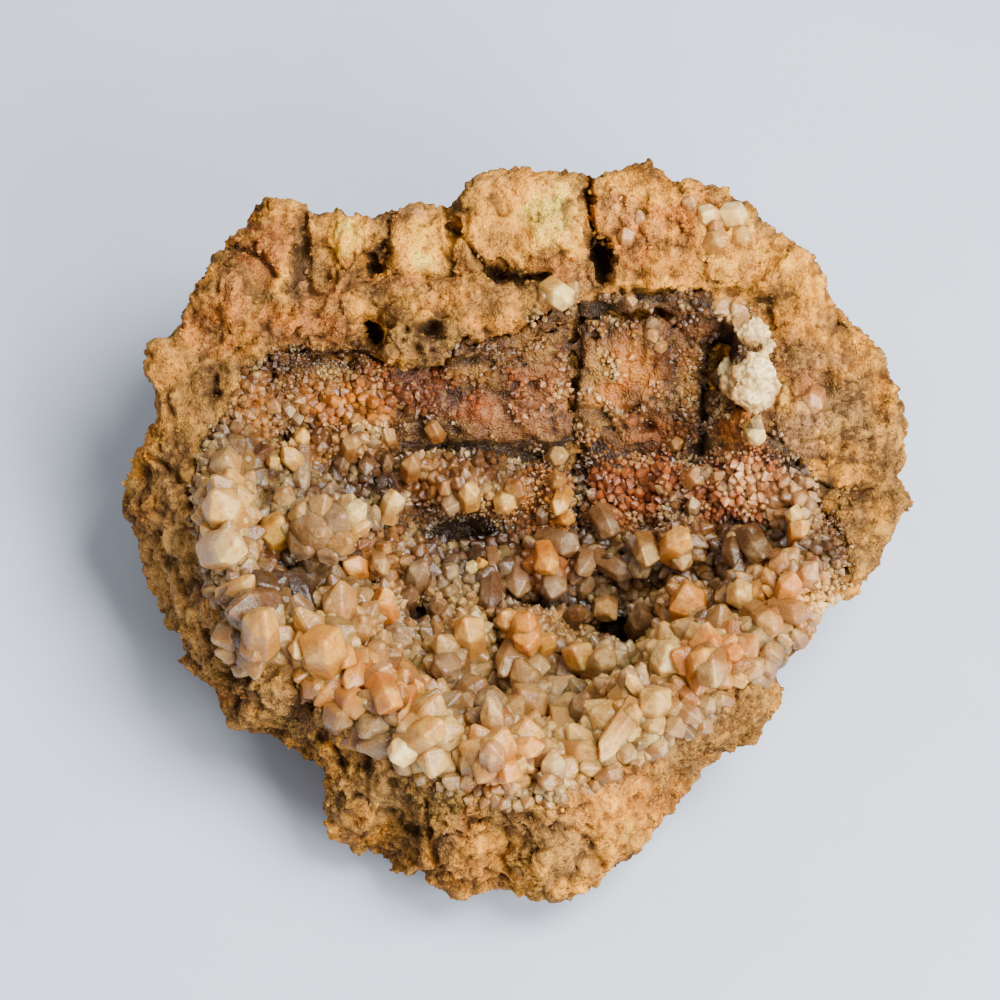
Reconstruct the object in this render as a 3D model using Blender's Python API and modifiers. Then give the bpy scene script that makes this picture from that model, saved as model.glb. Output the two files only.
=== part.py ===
"""Half of a quartz geode lying on its back: a rough stone rind, and one crust of crystals in its hollow.

Sizes are in millimetres until a mesh is finished, +X is to the right, +Y to the back and +Z up. Places on the
stone are given as pixels of a picture taken square to the line of sight, which is SIGHT_DEG above the ground.
"""

import math

import bmesh
import bpy
import numpy as np
from mathutils import Vector, noise
from mathutils.bvhtree import BVHTree

MM = 0.001

# The line of sight, and the picture's scale on the stone
SIGHT_DEG = 62.0
PIXEL = 0.1864
MIDDLE = (516.0, 500.0)
SIGHT_RISE = 21.8
FAR = 200.0

# The stone's rings, each point as x, y, z, round a line through (0, AXIS_Y)
AXIS_Y = -6.0
BELLY = [
    (72, 16, 30), (70, 30, 30), (62, 42, 28), (50, 53, 28), (34, 62, 28), (14, 66, 28), (-6, 65, 28),
    (-26, 61, 28), (-44, 58, 28), (-56, 48, 28), (-64, 36, 28), (-69, 24, 27), (-72, 13, 25), (-72, 0, 22),
    (-68, -9, 20), (-63, -18, 20), (-56, -29, 18), (-42, -37, 18), (-35, -41, 16), (-34, -48, 11),
    (-32, -53, 8), (-24, -54, 8), (-20, -58, 10), (-14, -62, 10), (-1, -64, 10), (11, -64, 10), (21, -57, 12),
    (27, -50, 14), (36, -40, 18), (44, -37, 22), (47, -29, 26), (52, -22, 28), (62, -11, 30), (68, -4, 31),
    (71, 5, 31),
]
CREST = [
    (71, 16, 40), (69, 33, 45), (58, 43, 50), (53, 52, 52), (42, 60, 55), (32, 63, 57), (23, 64, 57),
    (13, 63, 58), (-1, 63, 58), (-5, 64, 60), (-13, 59, 57), (-22, 57, 56), (-31, 57, 55), (-42, 58, 55),
    (-47, 59, 54), (-53, 54, 52), (-60, 45, 50), (-62, 36, 48), (-69, 31, 44), (-68, 18, 41), (-66, 8, 39),
    (-60, -4, 38), (-56, -18, 37), (-50, -29, 37), (-38, -38, 36), (-25, -47, 35), (-10, -57, 34),
    (6, -59, 35), (19, -54, 36), (32, -44, 37), (43, -36, 37), (52, -26, 37), (62, -15, 38), (68, -7, 39),
    (71, 5, 40),
]
MOUTH = [
    (60, -8, 39), (57, 3, 41), (50, 10, 43), (43, 18, 46), (41, 32, 48), (41, 39, 50), (31, 40, 50),
    (16, 40, 50), (5, 37, 49), (-2, 34, 47), (-12, 32, 46), (-22, 33, 46), (-31, 35, 47), (-42, 32, 46),
    (-50, 28, 44), (-53, 21, 43), (-56, 13, 41), (-57, -4, 40), (-53, -17, 39), (-47, -26, 38),
    (-36, -35, 38), (-24, -43, 37), (-10, -53, 36), (6, -55, 36), (18, -50, 37), (30, -41, 38), (40, -34, 38),
    (49, -25, 38), (58, -15, 38),
]

# The hollow's depth, how far it runs back under the rim, and the foot that the stone lies on
HOLLOW_FLOOR = 8.0
OVERHANG = 3.0
FOOT_SHARE = 0.40
FOOT_DEPTH = -1.2

# Broken blocks on the rim: left, right, front and back edge, and rise
BLOCKS = [
    (-54, -39, 26, 62, 2.6), (-38, -34, 36, 62, -2.2), (-33, -23, 42, 62, 1.8), (-22, -12, 41, 62, 0.4),
    (-11, 12, 46, 68, 4.0), (15, 42, 41, 68, 1.6), (44, 60, 26, 50, 1.0),
]
BLOCK_EDGE = 1.5

# Lumps of the rim and the wall as the picture shows them: pixel, radius and rise
LUMPS = [
    (272, 228, 9, 2.6), (225, 300, 8, 1.6), (180, 375, 8, 2.0), (146, 505, 8, 2.2), (412, 338, 8, 3.6),
    (330, 315, 7, 2.0), (480, 300, 8, 1.8), (720, 215, 9, 2.4), (650, 195, 6, 2.0), (800, 275, 8, 1.6),
    (770, 395, 8, 1.8), (830, 400, 9, 1.8), (840, 505, 8, 2.0), (200, 640, 8, 1.6), (250, 700, 7, 1.8),
    (352, 815, 7, 2.6), (450, 855, 8, 2.4), (560, 875, 8, 2.0), (620, 820, 7, 1.8), (745, 705, 7, 2.4),
    (400, 815, 6, -1.8), (500, 850, 6, -1.6), (680, 760, 6, -1.4), (300, 262, 6, -2.4), (215, 470, 6, -1.4),
]

# Hollows cut into the rim, as a pixel of the picture, half width, half height and depth
PITS = [
    (600, 262, 2.0, 4.4, 6), (500, 269, 5.0, 1.8, 5), (374, 264, 3.4, 2.4, 3.5), (372, 330, 3.0, 3.6, 6),
    (724, 372, 2.4, 5.4, 7), (456, 234, 1.2, 4.0, 4), (640, 309, 9.0, 1.8, 4), (830, 504, 5.0, 1.2, 3),
]
CRACK = [(586, 150), (589, 205), (590, 240), (584, 290), (577, 335), (579, 370), (573, 415), (570, 458)]
CRACK_WIDTH = 1.1
CRACK_DEPTH = 5.0
CRACK_DEPTH_IN_HOLLOW = 1.0
CRACK_HOLLOW_FROM = 320
CRACK_REACH = 14.0

# The crystal crust: how thick it is in front, on the back wall and at its edge, and the size of its small
# crystals, which are coarsest below DRUSE_COARSE in the picture
CRUST_THICK = 3.4
BACK_THICK = 1.8
CRUST_EDGE = 1.2
CRUST_ROOT = 2.0
FRONT_ROLL = 3.0
DRUSE = 6.5
DRUSE_COARSE = (380, 540)
GAP = 0.5

# Swells and sinks of the crust: pixel of the picture, radius and rise
CRUST_SWELLS = [
    (470, 492, 7, 3.4), (345, 450, 6, 2.6), (380, 395, 8, 2.4), (560, 492, 5, 2.6), (655, 395, 9, 2.0),
    (440, 445, 5, -2.4), (530, 452, 5, -2.4), (455, 535, 6, -2.8), (600, 480, 4, -2.2), (320, 520, 8, 3.0),
    (325, 583, 8, -3.6), (640, 615, 8, -3.0), (520, 600, 7, -1.6), (700, 545, 6, 2.4), (750, 530, 4, -3.0),
    (340, 640, 9, 3.0), (470, 640, 8, 2.4), (525, 635, 7, 2.6), (565, 690, 4, -2.4), (700, 650, 8, 3.0),
    (500, 760, 8, 2.6), (610, 635, 5, -2.0), (760, 480, 6, 1.6), (230, 530, 7, 2.0),
]

# The main crystals: pixel of the picture, width, length, the way the tip points, clockwise from up in the
# picture, and how far it leans from the line of sight
CRYSTALS = [
    (222, 507, 8.5, 9, 330, 30), (231, 548, 7.5, 8, 60, 25), (247, 584, 4.8, 8, 60, 60),
    (217, 580, 4.5, 6, 20, 30), (276, 525, 6.0, 8, 340, 15), (285, 498, 5.0, 6, 10, 35),
    (318, 533, 10.5, 16, 62, 55), (259, 624, 6.8, 11, 10, 50), (296, 595, 7.0, 6, 0, 45),
    (341, 602, 7.4, 9, 0, 58), (323, 643, 9.2, 8, 20, 18), (361, 622, 6.0, 8, 10, 45),
    (378, 650, 6.0, 7, 40, 35), (386, 598, 4.5, 8, 0, 40), (398, 635, 6.0, 7, 0, 25),
    (382, 673, 5.2, 7, 230, 50), (352, 682, 5.0, 6, 190, 40), (389, 702, 6.2, 7, 0, 20),
    (430, 690, 4.0, 6, 0, 30), (430, 729, 6.4, 7, 30, 35), (400, 752, 6.0, 8, 60, 60),
    (282, 634, 4.8, 6, 330, 30), (469, 627, 6.8, 8, 350, 30), (444, 645, 5.8, 7, 330, 30),
    (447, 671, 6.4, 7, 0, 25), (526, 622, 6.0, 8, 20, 40), (507, 617, 5.0, 7, 340, 40),
    (529, 641, 5.6, 6, 180, 20), (549, 641, 5.0, 8, 160, 35), (538, 669, 5.4, 5, 170, 40),
    (579, 655, 6.6, 7, 300, 15), (605, 659, 6.2, 9, 10, 35), (509, 672, 3.4, 8, 8, 55),
    (496, 680, 4.5, 6, 340, 30), (530, 698, 8.0, 8, 320, 20), (553, 705, 5.0, 6, 60, 30),
    (492, 714, 5.0, 9, 350, 50), (466, 702, 5.5, 6, 0, 20), (492, 752, 5.4, 8, 0, 35),
    (530, 748, 5.2, 7, 80, 50), (508, 776, 5.0, 6, 180, 25), (530, 793, 4.2, 5, 0, 30),
    (570, 752, 7.2, 14, 186, 60), (550, 774, 4.8, 6, 0, 30), (611, 742, 4.8, 12, 205, 65),
    (585, 706, 5.8, 7, 340, 30), (617, 690, 4.8, 6, 350, 45), (655, 698, 7.6, 8, 150, 25),
    (634, 686, 3.8, 8, 330, 60), (677, 707, 4.2, 5, 30, 30), (605, 611, 5.6, 6, 300, 10),
    (576, 612, 4.4, 5, 0, 20), (644, 620, 6.6, 8, 330, 30), (686, 600, 8.4, 8, 10, 30),
    (739, 594, 6.2, 8, 250, 38), (732, 617, 4.6, 5, 350, 35), (668, 657, 8.2, 10, 0, 30),
    (698, 630, 5.0, 6, 340, 35), (718, 634, 4.2, 6, 20, 35), (707, 655, 6.0, 6, 30, 15),
    (711, 676, 7.4, 6, 180, 25), (735, 652, 4.2, 5, 40, 30), (648, 557, 5.8, 7, 200, 18),
    (623, 568, 5.6, 8, 140, 48), (584, 568, 4.8, 7, 200, 35), (609, 529, 5.0, 6, 150, 30),
    (568, 544, 6.2, 8, 110, 50), (553, 592, 6.0, 7, 170, 35), (518, 588, 6.4, 6, 190, 30),
    (490, 601, 4.8, 7, 180, 45), (547, 565, 5.4, 6, 200, 20), (734, 557, 5.2, 6, 170, 30),
    (759, 551, 6.2, 8, 120, 40), (782, 578, 5.2, 9, 350, 40), (809, 573, 4.6, 6, 20, 30),
    (762, 590, 4.6, 6, 340, 35), (799, 612, 6.2, 6, 60, 45), (768, 618, 4.8, 5, 20, 35),
    (686, 540, 7.4, 7, 160, 25), (680, 563, 5.2, 6, 180, 40), (799, 527, 4.6, 5, 30, 30),
    (700, 475, 4.6, 7, 80, 60), (394, 499, 4.3, 6, 20, 35), (288, 456, 4.0, 5, 300, 30),
    (302, 479, 3.8, 7, 180, 45), (352, 441, 4.0, 4, 150, 20), (412, 460, 4.4, 4, 160, 20),
    (352, 565, 5.2, 5, 190, 35), (381, 568, 4.4, 5, 170, 25), (418, 568, 5.0, 6, 150, 30),
    (469, 491, 4.8, 5, 170, 20), (450, 507, 4.0, 4, 180, 30), (506, 506, 4.9, 5, 190, 15),
    (516, 487, 4.6, 4, 0, 20), (432, 427, 4.0, 4, 170, 20), (559, 507, 4.0, 4, 200, 20),
]
CRYSTAL_ROOT = 3.6
TIP_SHARE = 0.62
TAPER = 0.93

# Meshes are shaped in cells of this size, then thinned to these face counts
CELL = 0.8
STONE_FACES = 4300
CRUST_BODY_FACES = 3200
CRUST_FACES = 4000


def sight_axes():
    """The picture's right, its up, and the way to the viewer, as world directions."""
    angle = math.radians(SIGHT_DEG)
    up = Vector((0, math.sin(angle), math.cos(angle)))
    return Vector((1, 0, 0)), up, Vector((0, -math.cos(angle), math.sin(angle)))


RIGHT, UP, TO_VIEWER = sight_axes()


def pixel_of(point):
    """The picture's pixel that a point of the stone is seen at."""
    across = point.x / PIXEL + MIDDLE[0]
    return across, MIDDLE[1] - (point.dot(UP) - SIGHT_RISE) / PIXEL


def on_sight_plane(px, py):
    """A point far towards the viewer that is seen at this pixel."""
    across = (px - MIDDLE[0]) * PIXEL
    rise = (MIDDLE[1] - py) * PIXEL + SIGHT_RISE
    return RIGHT * across + UP * rise + TO_VIEWER * FAR


def smooth(low, high, value):
    """0 below low, 1 above high, and an easy slope between them."""
    share = min(max((value - low) / (high - low), 0.0), 1.0)
    return share * share * (3 - 2 * share)


def ring(points, angles):
    """Radius and height of a ring at each angle round the stone's axis."""
    x, y, z = np.array(points, float).T
    around = np.arctan2(y - AXIS_Y, x)
    radius = np.hypot(x, y - AXIS_Y)
    return np.interp(angles, around, radius, period=2 * np.pi), np.interp(angles, around, z, period=2 * np.pi)


def profiles(angles):
    """For each angle, the stations from the foot's centre over the rim to the hollow's floor, as radius, height."""
    belly, belly_z = ring(BELLY, angles)
    crest, crest_z = ring(CREST, angles)
    mouth, mouth_z = ring(MOUTH, angles)
    back = np.clip(np.sin(angles), 0, 1) ** 0.6
    depth = mouth_z - HOLLOW_FLOOR
    zero = np.zeros_like(angles)
    stations = [
        (zero, zero + FOOT_DEPTH),
        (FOOT_SHARE * belly, zero + FOOT_DEPTH),
        (0.84 * belly, 0.30 * belly_z),
        (belly, belly_z),
        (0.5 * (belly + crest) + 1.0, 0.45 * belly_z + 0.55 * crest_z),
        (crest, crest_z),
        (0.5 * (crest + mouth), 0.5 * (crest_z + mouth_z) + 1.0),
        (mouth, mouth_z),
        (mouth - 3.0 + (3.0 + OVERHANG) * back, mouth_z - 6.0),
        (0.84 * mouth + 1.5, HOLLOW_FLOOR + 0.60 * depth),
        (0.62 * mouth + 2.5, HOLLOW_FLOOR + 0.32 * depth),
        (0.32 * mouth + 1.0, HOLLOW_FLOOR + 0.08 * depth),
        (zero, zero + HOLLOW_FLOOR),
    ]
    return np.array([s[0] for s in stations]), np.array([s[1] for s in stations])


MOUTH_STATION = 7


def along(radii, heights, shares):
    """Points at equal shares of a profile's length."""
    length = np.concatenate([[0], np.cumsum(np.hypot(np.diff(radii), np.diff(heights)))])
    where = shares * length[-1]
    return np.interp(where, length, radii), np.interp(where, length, heights)


def sphere_grid(around, along_count):
    """A ball whose points are read as an angle round the stone and a share of its profile."""
    bm = bmesh.new()
    bmesh.ops.create_uvsphere(bm, u_segments=around, v_segments=along_count, radius=1.0)
    angles = np.array([math.atan2(v.co.y, v.co.x) for v in bm.verts])
    shares = np.array([math.acos(max(-1.0, min(1.0, -v.co.z))) / math.pi for v in bm.verts])
    return bm, angles, shares


def placed(angle, radius, height):
    """A point at this angle, radius and height round the stone's axis."""
    return Vector((radius * math.cos(angle), AXIS_Y + radius * math.sin(angle), height))


def broken(point, size):
    """Relief of broken rock, about -1 to 1: cells of one height each, with a groove where two meet."""
    distances, centres = noise.voronoi(point / size)
    groove = 1 - smooth(0.0, 0.30, distances[1] - distances[0])
    return noise.noise(centres[0] * 2.7) * 1.4 - 0.7 * groove


def rock_relief(point):
    """The rock's roughness: broad waves, broken faces and small bumps."""
    broad = 1.7 * noise.fractal(point / 24, 1.0, 2.0, 3)
    return broad + 1.5 * broken(point, 10.0) + 0.7 * noise.noise(point / 4.0)


def druse(point, size):
    """Relief of small crystals grown side by side: a cone at the middle of each cell, from 0 to 1."""
    distances, _ = noise.voronoi(point / size)
    return max(1.0 - distances[0] / 0.75, 0.0)


def raised(point, places):
    """The rise here of lumps listed as a pixel of the picture, radius and rise."""
    px, py = pixel_of(point)
    rise = 0.0
    for x, y, radius, height in places:
        away = math.hypot(px - x, py - y) * PIXEL / radius
        rise += height * (1 - smooth(0.3, 1.2, away))
    return rise


def block_rise(point):
    """How far a broken block of the rim stands up at this place."""
    rise = 0.0
    for left, right, front, back, height in BLOCKS:
        inside = smooth(left - BLOCK_EDGE, left, point.x) * smooth(-right - BLOCK_EDGE, -right, -point.x)
        inside *= smooth(front - BLOCK_EDGE, front, point.y) * smooth(-back - BLOCK_EDGE, -back, -point.y)
        rise += height * inside
    return rise * smooth(34, 42, point.z)


def new_object(name, bm, collection):
    """An object from a shape in millimetres."""
    mesh = bpy.data.meshes.new(name)
    bm.to_mesh(mesh)
    bm.free()
    obj = bpy.data.objects.new(name, mesh)
    collection.objects.link(obj)
    return obj


def evaluated_mesh(obj):
    """Replaces an object's mesh with what its modifiers make of it."""
    graph = bpy.context.evaluated_depsgraph_get()
    mesh = bpy.data.meshes.new_from_object(obj.evaluated_get(graph))
    obj.modifiers.clear()
    obj.data = mesh


def thinned(obj, faces):
    """Collapses the mesh's least needed edges until about this many faces are left."""
    now = len(obj.data.loop_triangles) or sum(len(p.vertices) - 2 for p in obj.data.polygons)
    modifier = obj.modifiers.new("thin", "DECIMATE")
    modifier.ratio = faces / now
    modifier.use_collapse_triangulate = True
    evaluated_mesh(obj)


def rewrapped(obj, cell):
    """Wraps the mesh anew in cells of this size, which clears places where it crosses itself."""
    modifier = obj.modifiers.new("wrap", "REMESH")
    modifier.mode = "VOXEL"
    modifier.voxel_size = cell
    modifier.adaptivity = 0.0
    evaluated_mesh(obj)


def combined(obj, others, operation):
    """Cuts a collection of shapes from an object, or joins them to it."""
    modifier = obj.modifiers.new(operation.lower(), "BOOLEAN")
    modifier.operation = operation
    modifier.operand_type = "COLLECTION"
    modifier.collection = others
    modifier.solver = "EXACT"
    evaluated_mesh(obj)


def tree_of(obj):
    """A search tree of the mesh, for rays."""
    bm = bmesh.new()
    bm.from_mesh(obj.data)
    tree = BVHTree.FromBMesh(bm)
    bm.free()
    return tree


def helpers(name):
    """A collection for cutters and other shapes that aren't part of the stone."""
    collection = bpy.data.collections.new(name)
    bpy.context.scene.collection.children.link(collection)
    collection.hide_render = True
    return collection


def hide(collection):
    """Keeps cutters out of a render, and draws them as wires."""
    for obj in collection.objects:
        obj.hide_render = True
        obj.display_type = "WIRE"


def rough_stone(collection):
    """The rind with its rim and hollow, before its pits are cut."""
    bm, angles, shares = sphere_grid(180, 100)
    radii, heights = profiles(angles)
    mouth = []
    for i, vert in enumerate(bm.verts):
        radius, height = along(radii[:, i], heights[:, i], shares[i])
        vert.co = placed(angles[i], radius, height)
        steps = np.hypot(np.diff(radii[:, i]), np.diff(heights[:, i]))
        mouth.append(steps[:MOUTH_STATION].sum() / steps.sum())
    for _ in range(2):
        bmesh.ops.smooth_vert(bm, verts=bm.verts, factor=0.5, use_axis_x=True, use_axis_y=True, use_axis_z=True)
    bm.normal_update()
    moves = []
    for i, vert in enumerate(bm.verts):
        rough = smooth(0.0, 6.0, vert.co.z) if shares[i] < 0.5 else 1 - smooth(mouth[i], mouth[i] + 0.07, shares[i])
        move = vert.normal * rock_relief(vert.co) * rough
        if shares[i] < mouth[i] + 0.04 and vert.normal.dot(TO_VIEWER) > 0:
            move += vert.normal * raised(vert.co, LUMPS)
            move += Vector((0, 0, block_rise(vert.co))) * max(vert.normal.z, 0.0)
        moves.append(move)
    for vert, move in zip(bm.verts, moves):
        vert.co += move
    stone = new_object("rind", bm, collection)
    rewrapped(stone, CELL)
    thinned(stone, 3 * STONE_FACES)
    return stone


def pit_cutter(tree, pit, cutters):
    """A lumpy ball sunk into the stone where the line of sight through the pit's pixel meets it."""
    px, py, half_width, half_height, depth = pit
    hit = tree.ray_cast(on_sight_plane(px, py), -TO_VIEWER)[0]
    bm = bmesh.new()
    bmesh.ops.create_icosphere(bm, subdivisions=2, radius=1.0)
    for vert in bm.verts:
        lump = 1 + 0.22 * noise.noise(vert.co * 1.9 + hit)
        across, rise, out = vert.co * lump
        vert.co = hit + RIGHT * across * half_width + UP * rise * half_height + TO_VIEWER * out * depth
    bmesh.ops.recalc_face_normals(bm, faces=bm.faces)
    new_object(f"pit_{px}", bm, cutters)


def crack_cutter(tree, cutters):
    """A thin crooked wall that follows the crack, from inside the stone to well clear of it."""
    bm = bmesh.new()
    deep = []
    for px, py in CRACK:
        start = on_sight_plane(px, py)
        hit = tree.ray_cast(start, -TO_VIEWER)[0] or start - TO_VIEWER * (FAR - 40)
        depth = CRACK_DEPTH if py < CRACK_HOLLOW_FROM else CRACK_DEPTH_IN_HOLLOW
        deep.append(bm.verts.new(hit - TO_VIEWER * depth))
    edges = [bm.edges.new(pair) for pair in zip(deep, deep[1:])]
    wall = bmesh.ops.extrude_edge_only(bm, edges=edges)["geom"]
    outer = [e for e in wall if isinstance(e, bmesh.types.BMVert)]
    bmesh.ops.translate(bm, verts=outer, vec=TO_VIEWER * (CRACK_DEPTH + CRACK_REACH))
    bmesh.ops.recalc_face_normals(bm, faces=bm.faces)
    bmesh.ops.solidify(bm, geom=bm.faces[:], thickness=CRACK_WIDTH)
    bmesh.ops.recalc_face_normals(bm, faces=bm.faces)
    new_object("crack", bm, cutters)


def flatten_foot(obj):
    """Cuts the stone level at the ground, which leaves the flat patch that it lies on."""
    bm = bmesh.new()
    bm.from_mesh(obj.data)
    cut = bmesh.ops.bisect_plane(
        bm, geom=bm.verts[:] + bm.edges[:] + bm.faces[:], dist=0.05, plane_co=(0, 0, 0), plane_no=(0, 0, -1),
        clear_outer=True,
    )
    edges = [e for e in cut["geom_cut"] if isinstance(e, bmesh.types.BMEdge)]
    bmesh.ops.edgeloop_fill(bm, edges=edges)
    bmesh.ops.triangulate(bm, faces=bm.faces)
    bmesh.ops.recalc_face_normals(bm, faces=bm.faces)
    bm.to_mesh(obj.data)
    bm.free()


def keep_largest(obj):
    """Drops crumbs that a cut left loose."""
    bm = bmesh.new()
    bm.from_mesh(obj.data)
    left = set(bm.verts)
    islands = []
    while left:
        island, edge = set(), [left.pop()]
        while edge:
            vert = edge.pop()
            island.add(vert)
            near = [e.other_vert(vert) for e in vert.link_edges]
            found = [v for v in near if v in left]
            left.difference_update(found)
            edge.extend(found)
        islands.append(island)
    islands.sort(key=len)
    for island in islands[:-1]:
        bmesh.ops.delete(bm, geom=list(island), context="VERTS")
    bm.to_mesh(obj.data)
    bm.free()


def make_rind(part, cutters):
    """The finished rind: rough stone, its pits and crack, and its flat foot."""
    stone = rough_stone(part)
    tree = tree_of(stone)
    for pit in PITS:
        pit_cutter(tree, pit, cutters)
    crack_cutter(tree, cutters)
    combined(stone, cutters, "DIFFERENCE")
    hide(cutters)
    thinned(stone, STONE_FACES)
    flatten_foot(stone)
    keep_largest(stone)
    return stone


def crust_body(collection):
    """The crust without its large crystals: a lens that fills the hollow's skin, and roots in the stone."""
    bm, angles, shares = sphere_grid(160, 120)
    radii, heights = profiles(angles)
    for i, vert in enumerate(bm.verts):
        wall_r = radii[MOUTH_STATION:, i][::-1]
        wall_z = heights[MOUTH_STATION:, i][::-1]
        upper = shares[i] > 0.5
        share = 2 * (1 - shares[i]) if upper else 2 * shares[i]
        radius, height = along(wall_r, wall_z, share)
        ahead_r, ahead_z = along(wall_r, wall_z, min(share + 0.02, 1.0))
        behind_r, behind_z = along(wall_r, wall_z, max(share - 0.02, 0.0))
        inward = Vector((behind_z - ahead_z, ahead_r - behind_r)).normalized()
        if share < 0.04:
            inward = Vector((0, 1))
        point = placed(angles[i], radius, height)
        thick = -CRUST_ROOT
        if upper:
            front = smooth(-0.35, 0.35, -math.sin(angles[i]))
            low = smooth(*DRUSE_COARSE, pixel_of(point)[1])
            roll = FRONT_ROLL * front * smooth(0.50, 0.72, share)
            thick = BACK_THICK + (CRUST_THICK - BACK_THICK) * low + roll + raised(point, CRUST_SWELLS)
            size = DRUSE * (0.6 + 0.4 * low)
            thick = CRUST_EDGE + (thick - CRUST_EDGE) * (1 - smooth(0.90, 1.0, share))
            thick = max(thick + 0.5 * size * (druse(point, size) - 0.35), CRUST_EDGE)
        vert.co = placed(angles[i], max(radius + inward.x * thick, 0.0), height + inward.y * thick)
    bmesh.ops.remove_doubles(bm, verts=bm.verts, dist=0.01)
    bmesh.ops.recalc_face_normals(bm, faces=bm.faces)
    return new_object("crystal_crust", bm, collection)


def crystal_axis(heading, lean):
    """The way a crystal's tip points."""
    turn, off = math.radians(heading), math.radians(lean)
    across = RIGHT * math.sin(turn) + UP * math.cos(turn)
    return TO_VIEWER * math.cos(off) + across * math.sin(off)


def quartz_point(width, length, seed):
    """A six-sided column with a six-faced tip, standing on the origin."""
    bm = bmesh.new()
    tip = min(TIP_SHARE * width, 0.6 * length)
    column = length - tip
    bmesh.ops.create_cone(
        bm, cap_ends=True, segments=6, radius1=width / 2, radius2=width / 2 * TAPER, depth=column
    )
    bmesh.ops.translate(bm, verts=bm.verts, vec=(0, 0, column / 2))
    top = [f for f in bm.faces if f.normal.z > 0.9]
    poked = bmesh.ops.poke(bm, faces=top)["verts"]
    off = Vector((noise.noise(Vector((seed, 0.5, 0))), noise.noise(Vector((seed, 9.5, 0))), 0)) * width * 0.3
    bmesh.ops.translate(bm, verts=poked, vec=Vector((0, 0, tip)) + off)
    return bm


def stand_crystal(number, tree, crystals):
    """Sets a main crystal on the crust, its middle at its own pixel of the picture."""
    px, py, width, length, heading, lean = CRYSTALS[number]
    axis = crystal_axis(heading, lean)
    start = on_sight_plane(px, py) - (RIGHT * axis.dot(RIGHT) + UP * axis.dot(UP)) * length * 0.5
    hit = tree.ray_cast(start, -TO_VIEWER)[0]
    if hit is None:
        return
    seed = number * 1.37
    bm = quartz_point(width, length + CRYSTAL_ROOT, seed)
    turn = axis.to_track_quat("Z", "Y").to_matrix().to_4x4()
    bmesh.ops.rotate(bm, verts=bm.verts, cent=(0, 0, 0), matrix=turn)
    bmesh.ops.translate(bm, verts=bm.verts, vec=hit - axis * CRYSTAL_ROOT)
    new_object(f"crystal_{number}", bm, crystals)


def swollen_copy(stone, collection):
    """The stone grown by GAP all round, which trims the crust to a clear gap."""
    bm = bmesh.new()
    bm.from_mesh(stone.data)
    bm.normal_update()
    moves = [vert.normal * GAP * vert.calc_shell_factor() for vert in bm.verts]
    for vert, move in zip(bm.verts, moves):
        vert.co += move
    swollen = new_object("stone_with_gap", bm, collection)
    rewrapped(swollen, CELL)
    thinned(swollen, STONE_FACES)
    return swollen


def make_crust(part, stone, cutters):
    """The finished crust: its body, the main crystals, and its back trimmed clear of the stone."""
    crust = crust_body(part)
    thinned(crust, CRUST_BODY_FACES)
    tree = tree_of(crust)
    crystals = helpers("crystals")
    for number in range(len(CRYSTALS)):
        stand_crystal(number, tree, crystals)
    combined(crust, crystals, "UNION")
    hide(crystals)
    thinned(crust, CRUST_FACES)
    swollen_copy(stone, cutters)
    combined(crust, cutters, "DIFFERENCE")
    hide(cutters)
    keep_largest(crust)
    return crust


def material(name, colour, roughness):
    """A plain surface of one colour."""
    made = bpy.data.materials.new(name)
    made.use_nodes = True
    shader = made.node_tree.nodes["Principled BSDF"]
    shader.inputs["Base Color"].default_value = (*colour, 1.0)
    shader.inputs["Roughness"].default_value = roughness
    shader.inputs["Metallic"].default_value = 0.0
    return made


def to_metres(objects):
    """Centres the object over the origin, and turns its millimetres into metres."""
    corners = np.array([v.co for obj in objects for v in obj.data.vertices])
    low, high = corners.min(axis=0), corners.max(axis=0)
    shift = Vector((-(low[0] + high[0]) / 2, -(low[1] + high[1]) / 2, -low[2]))
    print("moved by", [round(s, 2) for s in shift], "mm; size", (high - low).round(1), "mm")
    for obj in objects:
        for vert in obj.data.vertices:
            vert.co = (vert.co + shift) * MM


def main():
    for obj in list(bpy.data.objects):
        bpy.data.objects.remove(obj)
    part = bpy.data.collections.new("geode_half")
    bpy.context.scene.collection.children.link(part)
    cutters = helpers("cutters")
    rind = make_rind(part, cutters)
    crust = make_crust(part, rind, cutters)
    rind.data.materials.append(material("iron_stained_stone", (0.42, 0.24, 0.11), 0.85))
    crust.data.materials.append(material("milky_quartz", (0.58, 0.42, 0.27), 0.30))
    to_metres([rind, crust])
    geode = bpy.data.objects.new("geode_half", None)
    part.objects.link(geode)
    for piece in (rind, crust):
        piece.parent = geode


main()
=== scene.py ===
# %% [markdown]
# # Half a geode
# This stone grew hollow and was broken in two. One half lies on its back: a rough rind of iron-stained rock,
# broken into slabs along the back of its rim, and a hollow lined with stubby, milky quartz points.
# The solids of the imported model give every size. This file dresses them: it shapes the rock finely, grows the
# crystals one by one, and gives each surface a material.

# %% Load the solids
import math
import random

import bmesh
import bpy
import numpy as np
from mathutils import Matrix, Vector, noise
from mathutils.bvhtree import BVHTree


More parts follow.
